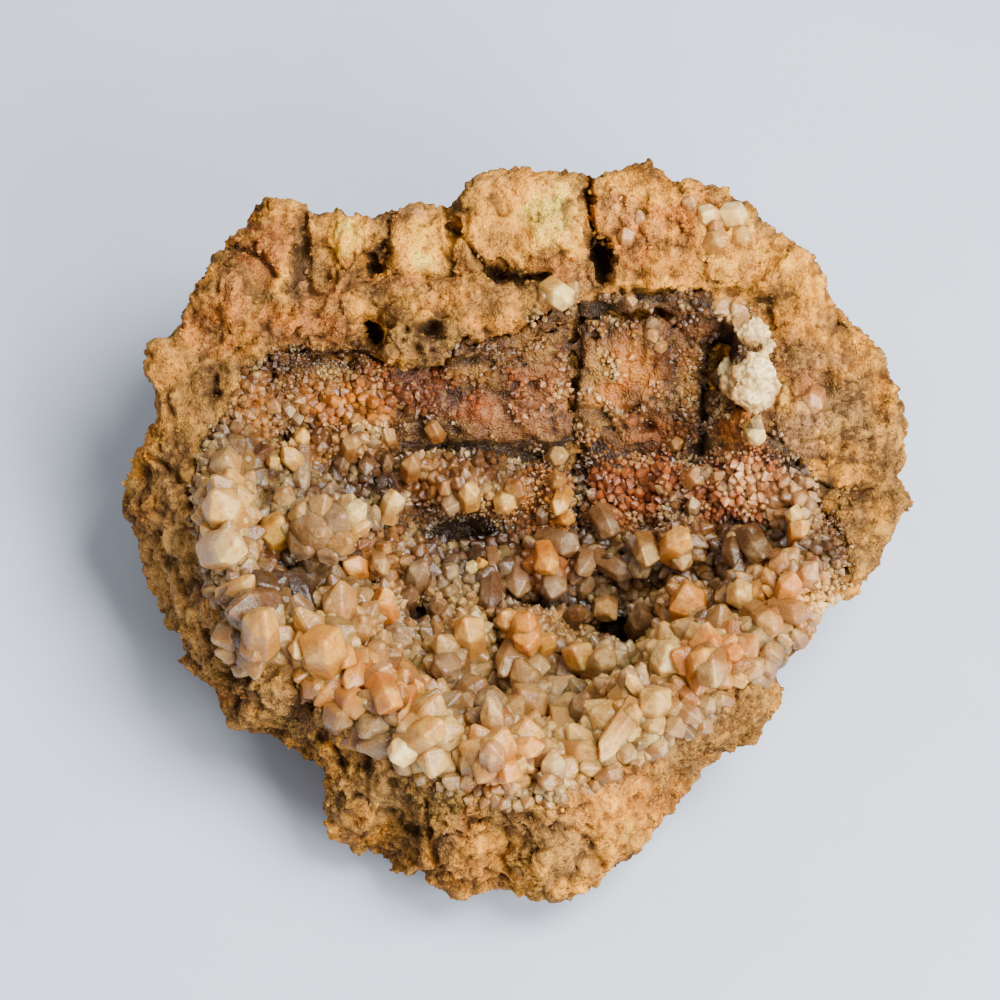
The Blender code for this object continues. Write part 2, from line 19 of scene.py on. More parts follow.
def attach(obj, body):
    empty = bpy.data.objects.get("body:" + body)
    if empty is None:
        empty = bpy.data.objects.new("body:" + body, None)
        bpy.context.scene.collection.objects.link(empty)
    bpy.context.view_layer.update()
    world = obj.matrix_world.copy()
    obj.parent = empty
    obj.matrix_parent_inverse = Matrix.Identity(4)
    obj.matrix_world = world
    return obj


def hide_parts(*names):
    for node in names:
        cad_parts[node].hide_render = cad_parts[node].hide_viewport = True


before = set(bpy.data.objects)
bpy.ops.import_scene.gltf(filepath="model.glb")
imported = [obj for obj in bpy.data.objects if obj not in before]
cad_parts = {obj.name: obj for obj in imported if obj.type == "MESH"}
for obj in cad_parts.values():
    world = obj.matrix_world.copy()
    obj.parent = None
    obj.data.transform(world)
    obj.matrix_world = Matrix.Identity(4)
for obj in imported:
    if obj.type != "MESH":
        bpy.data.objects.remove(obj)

# Blender starts its noise vectors from the clock. A fixed seed gives the same stone on every run.
noise.seed_set(1)

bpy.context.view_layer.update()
MM = 0.001

# %% [markdown]
# ## The line of sight
# The photograph looks down at the stone, 62 degrees above the table, from far enough that lines hardly
# converge. A long lens on a distant camera gives that. Every place that was read off the photograph is a
# pixel of a picture 1000 wide, so one helper turns a pixel into a ray from the camera, and another turns a
# point into its pixel. A feature then lands where the photograph has it, and the ray says how deep it lies.

# %% Camera, and pixels to rays
SIGHT_DEG = 62.0
PIXEL = 0.1864 * MM
LENS, SENSOR = 250.0, 36.0
DISTANCE = 1000 * PIXEL * LENS / SENSOR
AIM = Vector((-2.63, -0.25, 0.0)) * MM
AIM_UP, AIM_OUT = 21.8 * MM, 30.0 * MM
MIDDLE = 500  # of the picture, in pixels

angle = math.radians(SIGHT_DEG)
RIGHT = Vector((1, 0, 0))
UP = Vector((0, math.sin(angle), math.cos(angle)))
TO_VIEWER = Vector((0, -math.cos(angle), math.sin(angle)))
VIEWER = np.array(TO_VIEWER)
EYE = AIM + UP * AIM_UP + TO_VIEWER * (AIM_OUT + DISTANCE)


def sight_ray(px, py):
    """The way from the camera through a pixel of the picture."""
    across = RIGHT * (px - MIDDLE) * PIXEL + UP * (MIDDLE - py) * PIXEL
    return (across - TO_VIEWER * DISTANCE).normalized()


def pixels_of(points):
    """The pixels that points, one in each row, are seen at."""
    away = points - np.array(EYE)
    scale = DISTANCE / PIXEL / -(away @ VIEWER)
    return MIDDLE + away @ np.array(RIGHT) * scale, MIDDLE - away @ np.array(UP) * scale


camera = bpy.data.objects.new("camera", bpy.data.cameras.new("camera"))
camera.data.lens = LENS
camera.data.sensor_width = SENSOR
camera.data.clip_end = 20.0
camera.location = EYE
camera.rotation_euler = (math.radians(90 - SIGHT_DEG), 0, 0)
bpy.context.scene.collection.objects.link(camera)
bpy.context.scene.camera = camera
print("camera", round(DISTANCE, 3), "m away")

# %% [markdown]
# ## Helpers for meshes
# Rock and crust are both worked in three moves: copy a solid, give it fine even faces, and push its points
# about. A Remesh modifier in voxel mode makes the even faces, and its result replaces the mesh, so nothing is
# left live.

# %% Mesh helpers
def smooth(low, high, value):
    """0 below low, 1 above high, and an easy slope between."""
    share = np.clip((value - low) / (high - low), 0.0, 1.0)
    return share * share * (3 - 2 * share)


def new_piece(name, mesh):
    piece = bpy.data.objects.new(name, mesh)
    bpy.context.scene.collection.objects.link(piece)
    return piece


def merged_copy(node, name):
    """A piece with a copy of a solid's mesh, its loose triangles joined."""
    bm = bmesh.new()
    bm.from_mesh(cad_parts[node].data)
    bmesh.ops.remove_doubles(bm, verts=bm.verts, dist=1e-6)
    mesh = bpy.data.meshes.new(name)
    bm.to_mesh(mesh)
    bm.free()
    return new_piece(name, mesh)


def apply_modifiers(piece):
    graph = bpy.context.evaluated_depsgraph_get()
    mesh = bpy.data.meshes.new_from_object(piece.evaluated_get(graph))
    piece.modifiers.clear()
    piece.data = mesh


def remesh(piece, cell):
    modifier = piece.modifiers.new("wrap", "REMESH")
    modifier.mode = "VOXEL"
    modifier.voxel_size = cell
    modifier.adaptivity = 0.0
    apply_modifiers(piece)


def soften(piece, times):
    modifier = piece.modifiers.new("soften", "SMOOTH")
    modifier.factor = 0.5
    modifier.iterations = times
    apply_modifiers(piece)


def points_of(mesh):
    """Each point's place and normal, one in each row."""
    places = np.empty(len(mesh.vertices) * 3)
    normals = np.empty(len(mesh.vertices) * 3)
    mesh.vertices.foreach_get("co", places)
    mesh.vertex_normals.foreach_get("vector", normals)
    return places.reshape(-1, 3), normals.reshape(-1, 3)


def noise_at(places, size, shift=(0, 0, 0)):
    """A noise as long as size, read at each place."""
    return np.array([noise.noise(Vector(p) / size + Vector(shift)) for p in places])


def move_points(mesh, places):
    mesh.vertices.foreach_set("co", places.ravel())
    mesh.update()


def mark(mesh, name, values):
    """A number on each point, which a material reads as an attribute."""
    layer = mesh.attributes.get(name) or mesh.attributes.new(name, "FLOAT", "POINT")
    layer.data.foreach_set("value", np.asarray(values, np.float32))


def mark_colour(mesh, name, colours):
    """A colour on each point."""
    layer = mesh.attributes.get(name) or mesh.attributes.new(name, "FLOAT_COLOR", "POINT")
    opaque = np.ones((len(colours), 4), np.float32)
    opaque[:, :3] = colours
    layer.data.foreach_set("color", opaque.ravel())


def tree_of(mesh):
    bm = bmesh.new()
    bm.from_mesh(mesh)
    tree = BVHTree.FromBMesh(bm)
    bm.free()
    return tree


# %% [markdown]
# ## Spots, outlines and lines read off the photograph
# The stone isn't one colour or one slope. A spot is a soft oval: its middle's pixel, half its width and
# height, and what it does. An outline is a ring of pixels and a line is a row of them. Slow noises bend the
# pixels first, so nothing keeps a clean edge. Spots raise, sink and stain the surface. Outlines lift slabs
# out of it, and lines crack it.

# %% Spots, outlines and lines
def bent_pixels(places, reach=10.0):
    """Where points are seen, pushed about by noises a few millimetres long."""
    px, py = pixels_of(places)
    slow = np.array([noise.noise_vector(Vector(p) / (8 * MM)) for p in places])
    quick = np.array([noise.noise_vector(Vector(p) / (2.2 * MM)) for p in places])
    bend = reach * slow + 0.45 * reach * quick
    return px + bend[:, 0], py + bend[:, 1]


def near_line(px, py, line):
    """How far each pixel is from a line of pixels."""
    best = np.full_like(px, 1e9)
    for (ax, ay), (bx, by) in zip(line, line[1:]):
        dx, dy = bx - ax, by - ay
        share = np.clip(((px - ax) * dx + (py - ay) * dy) / (dx * dx + dy * dy), 0, 1)
        best = np.minimum(best, np.hypot(px - ax - share * dx, py - ay - share * dy))
    return best


def inside(px, py, outline):
    """How far each pixel lies inside an outline, and below 0 outside it."""
    ring = outline + outline[:1]
    within = np.zeros(len(px), bool)
    for (ax, ay), (bx, by) in zip(ring, ring[1:]):
        if ay != by:
            within ^= ((ay > py) != (by > py)) & (px < (bx - ax) * (py - ay) / (by - ay) + ax)
    away = near_line(px, py, ring)
    return np.where(within, away, -away)


def spot_share(px, py, spot):
    x, y, wide, high = spot[:4]
    return 1 - smooth(0.35, 1.15, np.hypot((px - x) / wide, (py - y) / high))


def lifted(px, py, spots, outlines):
    """The millimetres by which spots and outlines raise or sink each pixel."""
    lift = np.zeros_like(px)
    for spot in spots:
        lift += spot[4] * spot_share(px, py, spot)
    for height, edge, outline in outlines:
        lift += height * smooth(-edge, edge, inside(px, py, outline))
    return lift


def pushed(px, py, pushes):
    """How far spots push each pixel right and up in the picture, in millimetres."""
    right, up = np.zeros_like(px), np.zeros_like(px)
    for spot in pushes:
        share = spot_share(px, py, spot)
        right += spot[4] * share
        up += spot[5] * share
    return right, up


def strongest(px, py, spots):
    """The most that any spot gives each pixel, by the spot's own strength."""
    return np.max([spot[4] * spot_share(px, py, spot) for spot in spots], axis=0)


def cracked(px, py, lines):
    """How many millimetres cracks sink each pixel. A crack is a depth, half a width and a line."""
    depth = np.zeros_like(px)
    for deep, wide, line in lines:
        depth = np.maximum(depth, deep * (1 - smooth(0.3, 1.2, near_line(px, py, line) / wide)))
    return depth


# %% [markdown]
# ## Stains
# Iron gave this stone its colours, from straw and gold to orange and russet, and the quartz runs from cream
# over honey to smoky grey. Umber, dark and q_dark are painted shade, laid in cracks, caves and gaps and under
# overhangs. Each stain is named once. The light on the stone is strong and washes out warm colours, so the
# stains themselves are deep.

# %% Stains
STAINS = {
    "cream": (1.0, 0.50, 0.065), "straw": (0.98, 0.385, 0.026), "gold": (0.60, 0.225, 0.022),
    "orange": (0.56, 0.17, 0.020), "russet": (0.37, 0.105, 0.022), "rust": (0.15, 0.046, 0.013),
    "pinkish": (0.54, 0.205, 0.056), "pinkbeige": (0.33, 0.125, 0.034), "greypink": (0.33, 0.17, 0.080),
    "greybrown": (0.18, 0.098, 0.042), "brown": (0.14, 0.062, 0.019), "olive": (0.18, 0.098, 0.028),
    "tan": (0.36, 0.165, 0.036), "sand": (0.37, 0.19, 0.054), "ochre": (0.27, 0.120, 0.024),
    "wall": (0.52, 0.265, 0.078), "umber": (0.070, 0.031, 0.011), "dark": (0.024, 0.012, 0.006),
    "chalk": (0.84, 0.64, 0.27), "amber": (0.46, 0.150, 0.014), "honey": (0.34, 0.145, 0.026),
    "redorange": (0.44, 0.112, 0.024), "smoke": (0.17, 0.103, 0.052), "q_cream": (0.71, 0.42, 0.100),
    "q_white": (0.96, 0.67, 0.24), "q_beige": (0.48, 0.275, 0.084), "q_grey": (0.35, 0.218, 0.106),
    "q_orange": (0.80, 0.345, 0.045), "q_pink": (0.55, 0.28, 0.092), "q_yellow": (0.76, 0.41, 0.060),
    "q_honey": (0.38, 0.178, 0.040), "q_brown": (0.18, 0.092, 0.033), "q_dark": (0.075, 0.038, 0.018),
}


def painted(px, py, spots, ground):
    """The ground's colours with the spots laid over them, one after the other."""
    colours = ground.copy()
    for spot in spots:
        share = spot_share(px, py, spot)[:, None] * (spot[5] if len(spot) > 5 else 1.0)
        colours += (np.array(STAINS[spot[4]]) - colours) * share
    return colours


DRIFTS = (("gold", 13), ("olive", 10), ("brown", 16), ("straw", 7), ("ochre", 5))


def ground_colours(places):
    """Tan rock that drifts to other stains, each over its own length in millimetres."""
    colours = np.tile(np.array(STAINS["tan"]), (len(places), 1))
    for number, (name, length) in enumerate(DRIFTS):
        share = 0.8 * smooth(0.02, 0.42, noise_at(places, length * MM, (number * 9.1, 4, 7)))
        colours += (np.array(STAINS[name]) - colours) * share[:, None]
    return colours


# %% [markdown]
# ## The rind's mesh
# The rind is copied from its solid and wrapped in small even faces. Its hollow lies under the crystals and
# its foot on the table, so those faces are thinned again and the fine ones are kept for what shows.

# %% Rind: fine faces where it shows
STONE_CELL = 0.68 * MM
KEPT_SHARE = 0.68      # of the faces, after thinning
FOOT = 1.2 * MM        # what lies lower is hidden by the table
MOUTH = 48 * MM        # stone above it is always kept fine
COVER = 4 * MM         # the crust is at most this far from the stone under it

stone = merged_copy("rind", "stone_rind")
remesh(stone, STONE_CELL)
soften(stone, 4)
crust_tree = tree_of(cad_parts["crystal_crust"].data)


def buried(places, normals):
    """1 where the stone lies under the crystal crust or faces the table."""
    share = np.zeros(len(places))
    for i, (place, normal) in enumerate(zip(places, normals)):
        if place[2] < FOOT:
            share[i] = 1.0
        elif place[2] < MOUTH and normal[2] > -0.3:
            hit = crust_tree.ray_cast(Vector(place), Vector(normal), COVER)[0]
            share[i] = 1.0 if hit else 0.0
    return share


places, normals = points_of(stone.data)
hidden = buried(places, normals)
group = stone.vertex_groups.new(name="hidden")
group.add([int(i) for i in np.flatnonzero(hidden)], 1.0, "REPLACE")
thin = stone.modifiers.new("thin", "DECIMATE")
thin.ratio = KEPT_SHARE
thin.vertex_group = "hidden"
thin.vertex_group_factor = 10.0
thin.use_collapse_triangulate = True
apply_modifiers(stone)
print("rind:", len(places), "points,", int(hidden.sum()), "hidden, now", len(stone.data.polygons), "faces")

# %% [markdown]
# ## The rim's slabs, hollows and cracks
# The back of the rim is broken into slabs with straight edges, and a crusty ledge lies under them. Each slab
# is a height, a soft edge's width and an outline, in millimetres, and holes are outlines with a depth. The
# calm spots keep the slabs smooth, the porous ones have more pores, and the pushes mend the stone's outline.

# %% Rim: forms read off the photograph
BIG_SLAB = [
    (446, 210), (462, 190), (478, 178), (500, 172), (584, 170), (585, 262), (560, 268), (545, 270),
    (527, 275), (506, 272), (488, 263), (474, 252), (460, 238), (450, 222),
]
WOOD_SLAB = [
    (392, 240), (396, 222), (420, 208), (440, 205), (446, 212), (452, 225), (462, 240), (478, 258),
    (470, 270), (455, 275), (430, 272), (392, 276),
]
LEFT_BLOCK = [
    (308, 212), (345, 210), (380, 215), (388, 226), (388, 238), (370, 250), (353, 268), (345, 285),
    (335, 300), (318, 290), (312, 270),
]
HUMP = [
    (235, 222), (262, 200), (295, 203), (300, 225), (292, 260), (288, 310), (250, 335), (210, 330),
    (192, 300), (196, 275), (230, 240),
]
LEDGE = [
    (345, 292), (375, 285), (395, 278), (455, 277), (480, 276), (500, 285), (545, 285), (560, 290),
    (575, 300), (560, 312), (540, 322), (500, 338), (470, 345), (440, 335), (415, 322), (395, 318),
    (375, 306), (360, 300),
]
LEFT_LIP = [
    (250, 350), (262, 330), (300, 318), (345, 318), (365, 322), (372, 314), (352, 336), (300, 348),
    (262, 362),
]
RIGHT_BLOCK = [
    (592, 172), (640, 166), (690, 173), (740, 195), (775, 225), (790, 262), (765, 290), (740, 290),
    (700, 288), (660, 294), (630, 290), (612, 286), (612, 240), (596, 238),
]
SLABS = [
    (2.2, 2.5, BIG_SLAB), (1.3, 2.5, WOOD_SLAB), (2.0, 3.0, LEFT_BLOCK), (1.4, 8.0, HUMP),
    (1.8, 3.0, LEDGE), (1.8, 3.5, LEFT_LIP), (1.8, 3.0, RIGHT_BLOCK),
    (-4.5, 2.0, [(480, 262), (492, 264), (505, 273), (527, 277), (548, 274), (545, 281), (520, 285),
                 (500, 281), (486, 272)]),
    (-3.2, 2.0, [(360, 267), (373, 256), (388, 240), (391, 256), (388, 271), (374, 273)]),
    (-5.0, 2.5, [(592, 240), (604, 236), (612, 246), (612, 262), (606, 284), (594, 282)]),
    (-3.2, 4.0, [(412, 322), (428, 318), (442, 324), (444, 336), (430, 342), (414, 336)]),
    (-1.5, 4.0, [(296, 210), (308, 213), (311, 270), (317, 300), (292, 310), (288, 280), (294, 240)]),
    (0.8, 2.0, [(455, 180), (480, 176), (500, 200), (470, 222), (452, 214)]),
    (0.7, 2.0, [(545, 175), (584, 174), (583, 255), (556, 250), (540, 215)]),
    (-1.4, 3.0, [(806, 478), (832, 484), (874, 490), (874, 500), (836, 497), (812, 490)]),
]
ROCK_SPOTS = [
    (375, 330, 14, 18, -3.0), (268, 222, 30, 20, 2.0), (228, 292, 32, 34, 1.8), (330, 306, 20, 14, 1.0),
    (660, 205, 30, 20, 0.8), (700, 212, 14, 11, 1.2), (735, 212, 15, 14, 1.6), (728, 238, 20, 12, 1.0),
    (640, 265, 26, 12, 0.7), (565, 298, 16, 12, 1.2), (800, 275, 18, 14, 0.8), (810, 408, 22, 14, 1.2),
    (850, 380, 20, 16, 0.8), (780, 440, 14, 10, 0.8), (835, 440, 24, 8, -0.8), (790, 335, 22, 14, 0.6),
    (155, 370, 16, 16, 0.8), (200, 300, 18, 20, 0.8), (262, 222, 20, 14, 1.0), (215, 380, 14, 22, -1.0),
    (180, 440, 14, 30, -1.0), (170, 395, 12, 12, 0.8), (440, 850, 16, 18, -1.4), (400, 815, 22, 12, -1.4),
    (470, 835, 26, 14, 1.0), (345, 800, 22, 22, 1.2), (305, 705, 18, 14, -1.6), (260, 690, 24, 14, 1.0),
    (225, 650, 16, 18, -1.2), (610, 830, 36, 40, 1.2), (545, 850, 24, 24, 0.9), (510, 815, 18, 12, -1.2),
    (700, 745, 26, 20, 0.8), (660, 780, 16, 12, -0.9), (740, 700, 14, 18, -0.8),
]
ROCK_CRACKS = [
    (3.6, 3.2, [(587, 166), (590, 190), (588, 205), (591, 220), (592, 244)]),
    (2.4, 3.0, [(444, 208), (452, 225), (462, 240), (475, 254), (483, 264)]),
    (1.4, 2.2, [(391, 214), (393, 240), (391, 276)]),
    (2.0, 3.0, [(806, 479), (830, 484), (872, 492)]),
    (1.0, 2.4, [(345, 285), (372, 280), (392, 278), (440, 277), (478, 278)]),
    (1.2, 3.0, [(770, 430), (800, 440), (850, 430), (874, 425)]),
    (1.0, 2.4, [(745, 300), (790, 290), (830, 310), (870, 345)]),
    (1.0, 2.4, [(240, 345), (215, 372), (212, 430), (200, 480)]),
    (0.9, 2.4, [(185, 345), (192, 380), (182, 430), (160, 470)]),
    (2.8, 5.0, [(232, 243), (250, 252), (264, 260), (276, 278)]),
    (1.6, 5.0, [(270, 270), (262, 300), (250, 318)]),
    (2.0, 4.5, [(148, 456), (175, 470), (192, 500), (200, 534)]),
    (1.2, 4.0, [(172, 560), (188, 600), (208, 640)]),
    (1.3, 1.8, [(842, 449), (858, 444), (876, 440)]), (1.6, 3.5, [(425, 800), (432, 840), (440, 880)]),
    (1.4, 3.0, [(545, 815), (580, 835), (600, 870)]), (1.2, 3.0, [(296, 690), (330, 740), (345, 780)]),
    (1.2, 2.4, [(700, 196), (716, 215), (712, 240)]), (1.0, 2.4, [(636, 225), (650, 245), (640, 270)]),
]
CAVES = [
    (428, 328, 13, 8, -2.6), (446, 318, 7, 5, -1.8), (414, 350, 8, 6, -1.8), (433, 352, 5, 5, -1.6),
    (452, 350, 6, 5, -1.6), (466, 340, 5, 4, -1.4), (405, 330, 6, 5, -1.5), (538, 330, 6, 12, -2.2),
    (512, 352, 8, 7, -1.8), (488, 350, 5, 6, -1.5), (476, 325, 6, 4, -1.2), (652, 262, 5, 4, -1.6),
    (663, 268, 4, 3, -1.2), (825, 286, 4, 4, -1.6), (702, 290, 12, 4, -2.0), (760, 300, 14, 6, -2.2),
    (742, 292, 8, 4, -1.8), (790, 352, 5, 4, -1.4), (776, 404, 5, 6, -1.6), (846, 400, 8, 7, -1.6),
    (860, 372, 6, 5, -1.2), (855, 530, 9, 6, -1.8), (838, 545, 6, 5, -1.4), (212, 395, 10, 6, -1.8),
    (196, 500, 6, 12, -2.0), (172, 520, 7, 10, -1.4), (165, 560, 6, 8, -1.2), (190, 590, 8, 12, -1.4),
    (232, 225, 7, 7, -1.4), (300, 258, 8, 12, -1.2), (238, 330, 9, 6, -1.4), (413, 826, 12, 8, -2.4),
    (392, 782, 12, 7, -2.2), (366, 770, 9, 6, -1.8), (350, 795, 8, 6, -1.6), (470, 800, 6, 6, -1.6),
    (530, 818, 12, 7, -2.2), (552, 832, 7, 6, -1.8), (512, 845, 6, 5, -1.4), (460, 862, 8, 9, -1.6),
    (490, 838, 7, 8, -1.2), (620, 780, 6, 8, -1.4), (655, 760, 5, 5, -1.2), (270, 655, 8, 8, -1.8),
    (252, 668, 7, 5, -1.4), (292, 712, 9, 7, -1.8), (318, 738, 9, 7, -1.8), (240, 706, 8, 6, -1.2),
    (222, 640, 6, 8, -1.4), (340, 762, 9, 6, -1.6),
]
PUSHES = [
    (150, 362, 26, 32, -1.6, 0.3), (128, 484, 30, 28, 1.4, 0.0), (142, 442, 20, 18, 1.0, 0.0),
    (818, 600, 34, 50, -2.2, 0.6), (780, 665, 26, 30, -1.6, 0.4), (430, 892, 44, 24, 0.0, 1.8),
    (775, 218, 44, 34, 0.9, 0.7), (850, 306, 40, 30, 0.8, 0.5), (225, 722, 50, 26, -0.5, -0.8),
    (196, 285, 24, 40, -0.6, 0.2),
]
CALM = [
    (520, 222, 66, 52, 1.0), (422, 243, 29, 40, 1.0), (345, 238, 26, 22, 1.0), (185, 420, 50, 90, 0.5),
    (160, 560, 44, 120, 0.6), (610, 830, 80, 60, 0.35), (700, 740, 80, 40, 0.3),
]
POROUS = [
    (412, 338, 38, 26, 1.0), (640, 300, 90, 22, 0.7), (700, 300, 50, 25, 0.8), (330, 330, 60, 20, 0.6),
    (470, 335, 50, 14, 0.9), (480, 850, 110, 40, 0.5), (380, 790, 50, 60, 0.5), (245, 680, 70, 60, 0.4),
    (815, 350, 50, 60, 0.4), (835, 445, 40, 20, 0.9),
]

# %% [markdown]
# ## The rind's relief
# Between the large forms, broken rock has facets a few millimetres across that meet in grooves, crumbs
# stuck on them and open pores. The slabs are calmer and carry fine upright streaks, like split wood. Each of
# these is a noise read at the point's own place, so the relief has no seams.

# %% Rind: relief
def rock_height(p, calm, porous):
    """The relief of one point in millimetres."""
    waves = noise.fractal(p / 7.0, 0.9, 2.1, 4)
    bent = p + noise.noise_vector(p / 3.0) * 1.2
    reach, cells = noise.voronoi(bent / 4.6)
    tilt = noise.noise_vector(cells[0] * 3.7)
    facet = (bent / 4.6 - cells[0]).dot(tilt) * 2.6 + noise.noise(cells[0] * 3.1) * 0.6
    groove = max(1 - (reach[1] - reach[0]) / 0.16, 0.0)
    crumb_reach, crumb_cells = noise.voronoi(bent / 2.3)
    crumb = max(1 - (crumb_reach[0] / 0.65) ** 2, 0.0)
    crumb *= max(0.25 + 1.5 * noise.noise(crumb_cells[0] * 5.3), 0.0)
    grit = noise.fractal(p / 1.3, 0.7, 2.2, 3)
    pores = min(max((noise.noise(bent / 2.1 + Vector((7, 3, 1))) - 0.20) / 0.28, 0.0), 1.0)
    streaks = noise.noise(Vector((p.x / 0.9, p.dot(UP) / 10.0, p.dot(TO_VIEWER) / 5.0)))
    rough = waves + 0.95 * facet - 0.6 * groove + 0.25 * crumb + 0.45 * grit + 0.25 * streaks
    rough -= (0.7 + 1.3 * porous) * pores
    gentle = 0.60 * waves + 0.50 * streaks + 0.65 * facet + 0.15 * grit - 0.6 * groove
    return rough * (1 - calm) + gentle * calm


places, normals = points_of(stone.data)
hidden = buried(places, normals) > 0.5
px, py = bent_pixels(places, 5.0)
facing = smooth(0.0, 0.3, normals @ VIEWER)
calm = strongest(px, py, CALM) * facing
porous = strongest(px, py, POROUS) * facing
shown = smooth(0.5, 4.0, places[:, 2] / MM)
height = [rock_height(Vector(p) / MM, c, q) for p, c, q in zip(places, calm, porous)]
height = np.array(height) * shown
forms = (lifted(px, py, ROCK_SPOTS + CAVES, SLABS) - cracked(px, py, ROCK_CRACKS)) * facing * shown
right_push, up_push = (push * shown * MM for push in pushed(*pixels_of(places), PUSHES))
print("relief from", height.min().round(2), "to", height.max().round(2), "mm")
print("forms from", forms.min().round(2), "to", forms.max().round(2), "mm")

# %% [markdown]
# ## Clusters and gaps of the crystal crust
# Quartz points grow in clusters, and each cluster is a round swell from which its points spread. Between
# the clusters, gaps go deep and dark. Both are spots. The back wall is split into panels by dark cracks. The
# crust and the rock under it sink together in the gaps.

# %% Crust: clusters and gaps
CLUSTERS = [
    (228, 462, 24, 26, 2.0), (222, 505, 26, 32, 3.0), (232, 548, 24, 22, 3.0), (245, 584, 24, 16, 2.0),
    (262, 625, 22, 30, 3.0), (276, 525, 16, 22, 2.0), (326, 527, 42, 32, 3.5), (300, 600, 24, 20, 0.8),
    (330, 642, 44, 36, 4.2), (343, 598, 20, 18, 2.5), (385, 655, 24, 22, 2.2), (360, 690, 34, 22, 2.6),
    (402, 698, 28, 20, 2.6), (455, 650, 36, 38, 3.8), (430, 735, 24, 26, 3.0), (400, 752, 14, 12, 1.5),
    (530, 642, 38, 30, 3.8), (535, 695, 24, 20, 3.2), (500, 742, 38, 36, 2.8), (590, 660, 32, 22, 2.8),
    (570, 748, 18, 30, 3.2), (622, 712, 36, 22, 3.2), (660, 695, 20, 16, 2.4), (668, 655, 24, 24, 3.8),
    (710, 655, 32, 30, 4.0), (686, 600, 26, 18, 2.6), (650, 615, 22, 18, 1.4), (739, 594, 16, 15, 2.2),
    (772, 590, 26, 28, 1.8), (802, 580, 24, 28, 1.8), (808, 530, 20, 28, 1.8), (448, 490, 30, 24, 3.2),
    (505, 500, 22, 20, 2.8), (420, 468, 24, 14, 1.8), (395, 500, 13, 13, 1.8), (432, 428, 16, 10, 1.0),
    (350, 408, 50, 24, 2.4), (385, 370, 24, 15, 1.2), (350, 440, 40, 13, 1.4), (375, 548, 34, 28, 1.4),
    (425, 568, 24, 15, 1.8), (490, 572, 40, 16, 0.8), (550, 570, 24, 22, 2.4), (556, 500, 20, 36, 1.8),
    (608, 528, 20, 18, 1.8), (649, 558, 18, 15, 1.8), (682, 545, 32, 24, 2.6), (752, 555, 34, 18, 1.8),
    (740, 500, 46, 34, 2.0), (742, 450, 28, 34, 1.2), (700, 475, 20, 11, 2.0), (757, 430, 12, 16, 1.4),
    (374, 335, 16, 24, -4.5), (283, 438, 16, 9, -2.8), (470, 446, 66, 8, -2.2), (522, 455, 28, 8, -2.6),
    (460, 531, 48, 17, -3.2), (370, 486, 18, 9, -1.6), (282, 578, 32, 12, -3.6), (418, 614, 20, 12, -3.4),
    (560, 606, 58, 9, -3.4), (622, 630, 36, 22, -4.6), (500, 690, 14, 28, -2.6), (572, 692, 20, 14, -2.4),
    (724, 350, 19, 20, -5.5), (703, 400, 6, 56, -1.8), (700, 452, 11, 8, -3.0), (735, 525, 22, 11, -3.2),
    (790, 466, 16, 12, -2.6), (712, 500, 13, 8, -2.4), (645, 425, 13, 9, -2.8), (630, 412, 12, 6, -2.0),
    (600, 309, 26, 12, -3.0), (730, 303, 28, 8, -2.4), (320, 352, 50, 5, -2.0), (584, 485, 10, 40, -1.8),
    (444, 690, 12, 10, -2.0), (470, 728, 10, 12, -1.8), (545, 725, 12, 12, -2.2),
    (640, 655, 10, 22, -2.4), (300, 560, 18, 8, -2.2), (345, 580, 16, 8, -1.6), (250, 610, 6, 12, -1.5),
    (720, 620, 20, 8, -1.8),
]
PANELS = [
    (1.2, 2.5, [(584, 318), (640, 316), (662, 330), (668, 370), (664, 412), (640, 406), (600, 412),
                (578, 406), (582, 360)]),
    (1.2, 2.5, [(528, 345), (545, 325), (574, 320), (580, 360), (574, 405), (570, 442), (545, 446),
                (520, 425), (500, 400), (512, 370)]),
    (0.9, 3.0, [(584, 418), (640, 424), (672, 450), (676, 492), (620, 500), (586, 470)]),
    (1.2, 2.5, [(540, 452), (572, 448), (574, 480), (560, 492), (546, 484)]),
]
LONG_CRACK = [(580, 296), (577, 330), (580, 360), (575, 400), (572, 440), (570, 462), (576, 500), (580, 545)]
CRUST_CRACKS = [
    (3.0, 3.0, LONG_CRACK),
    (1.6, 3.0, [(576, 404), (590, 408), (612, 411)]),
    (1.8, 4.0, [(704, 345), (703, 380), (705, 420), (702, 452)]),
    (1.2, 3.0, [(590, 470), (630, 484), (680, 500)]),
    (1.0, 3.0, [(262, 372), (300, 352), (350, 345)]),
]
CREST = 60 * MM        # relief above it is pressed down, so that the stone keeps to its height
ABOVE_CREST = 0.4
SUNK = 1.2             # millimetres that the stone under the crust sinks, besides its gaps
THINNEST = 1.5         # and the wall left under it, in millimetres

under_px, under_py = pixels_of(places)
sunk = np.minimum(lifted(under_px, under_py, CLUSTERS, []), 0.0) - SUNK
shell = tree_of(stone.data)
for i in np.flatnonzero(hidden & (places[:, 2] > FOOT)):
    below = shell.ray_cast(Vector(places[i]) - TO_VIEWER * 0.5 * MM, -TO_VIEWER)[3]
    sunk[i] = max(sunk[i], min(THINNEST - (below or 0.1) / MM, 0.0))
sunk[places[:, 2] < FOOT] = 0.0
forms[hidden] = sunk[hidden]
height[hidden] = 0.0
moved = places + normals * (height * MM)[:, None] + VIEWER * (forms * MM)[:, None]
moved += np.outer(right_push, RIGHT) + np.outer(up_push, UP)
moved[:, 2] = np.minimum(moved[:, 2], CREST + ABOVE_CREST * (moved[:, 2] - CREST))
moved[:, 2] = np.maximum(moved[:, 2], 0.0)
move_points(stone.data, moved)
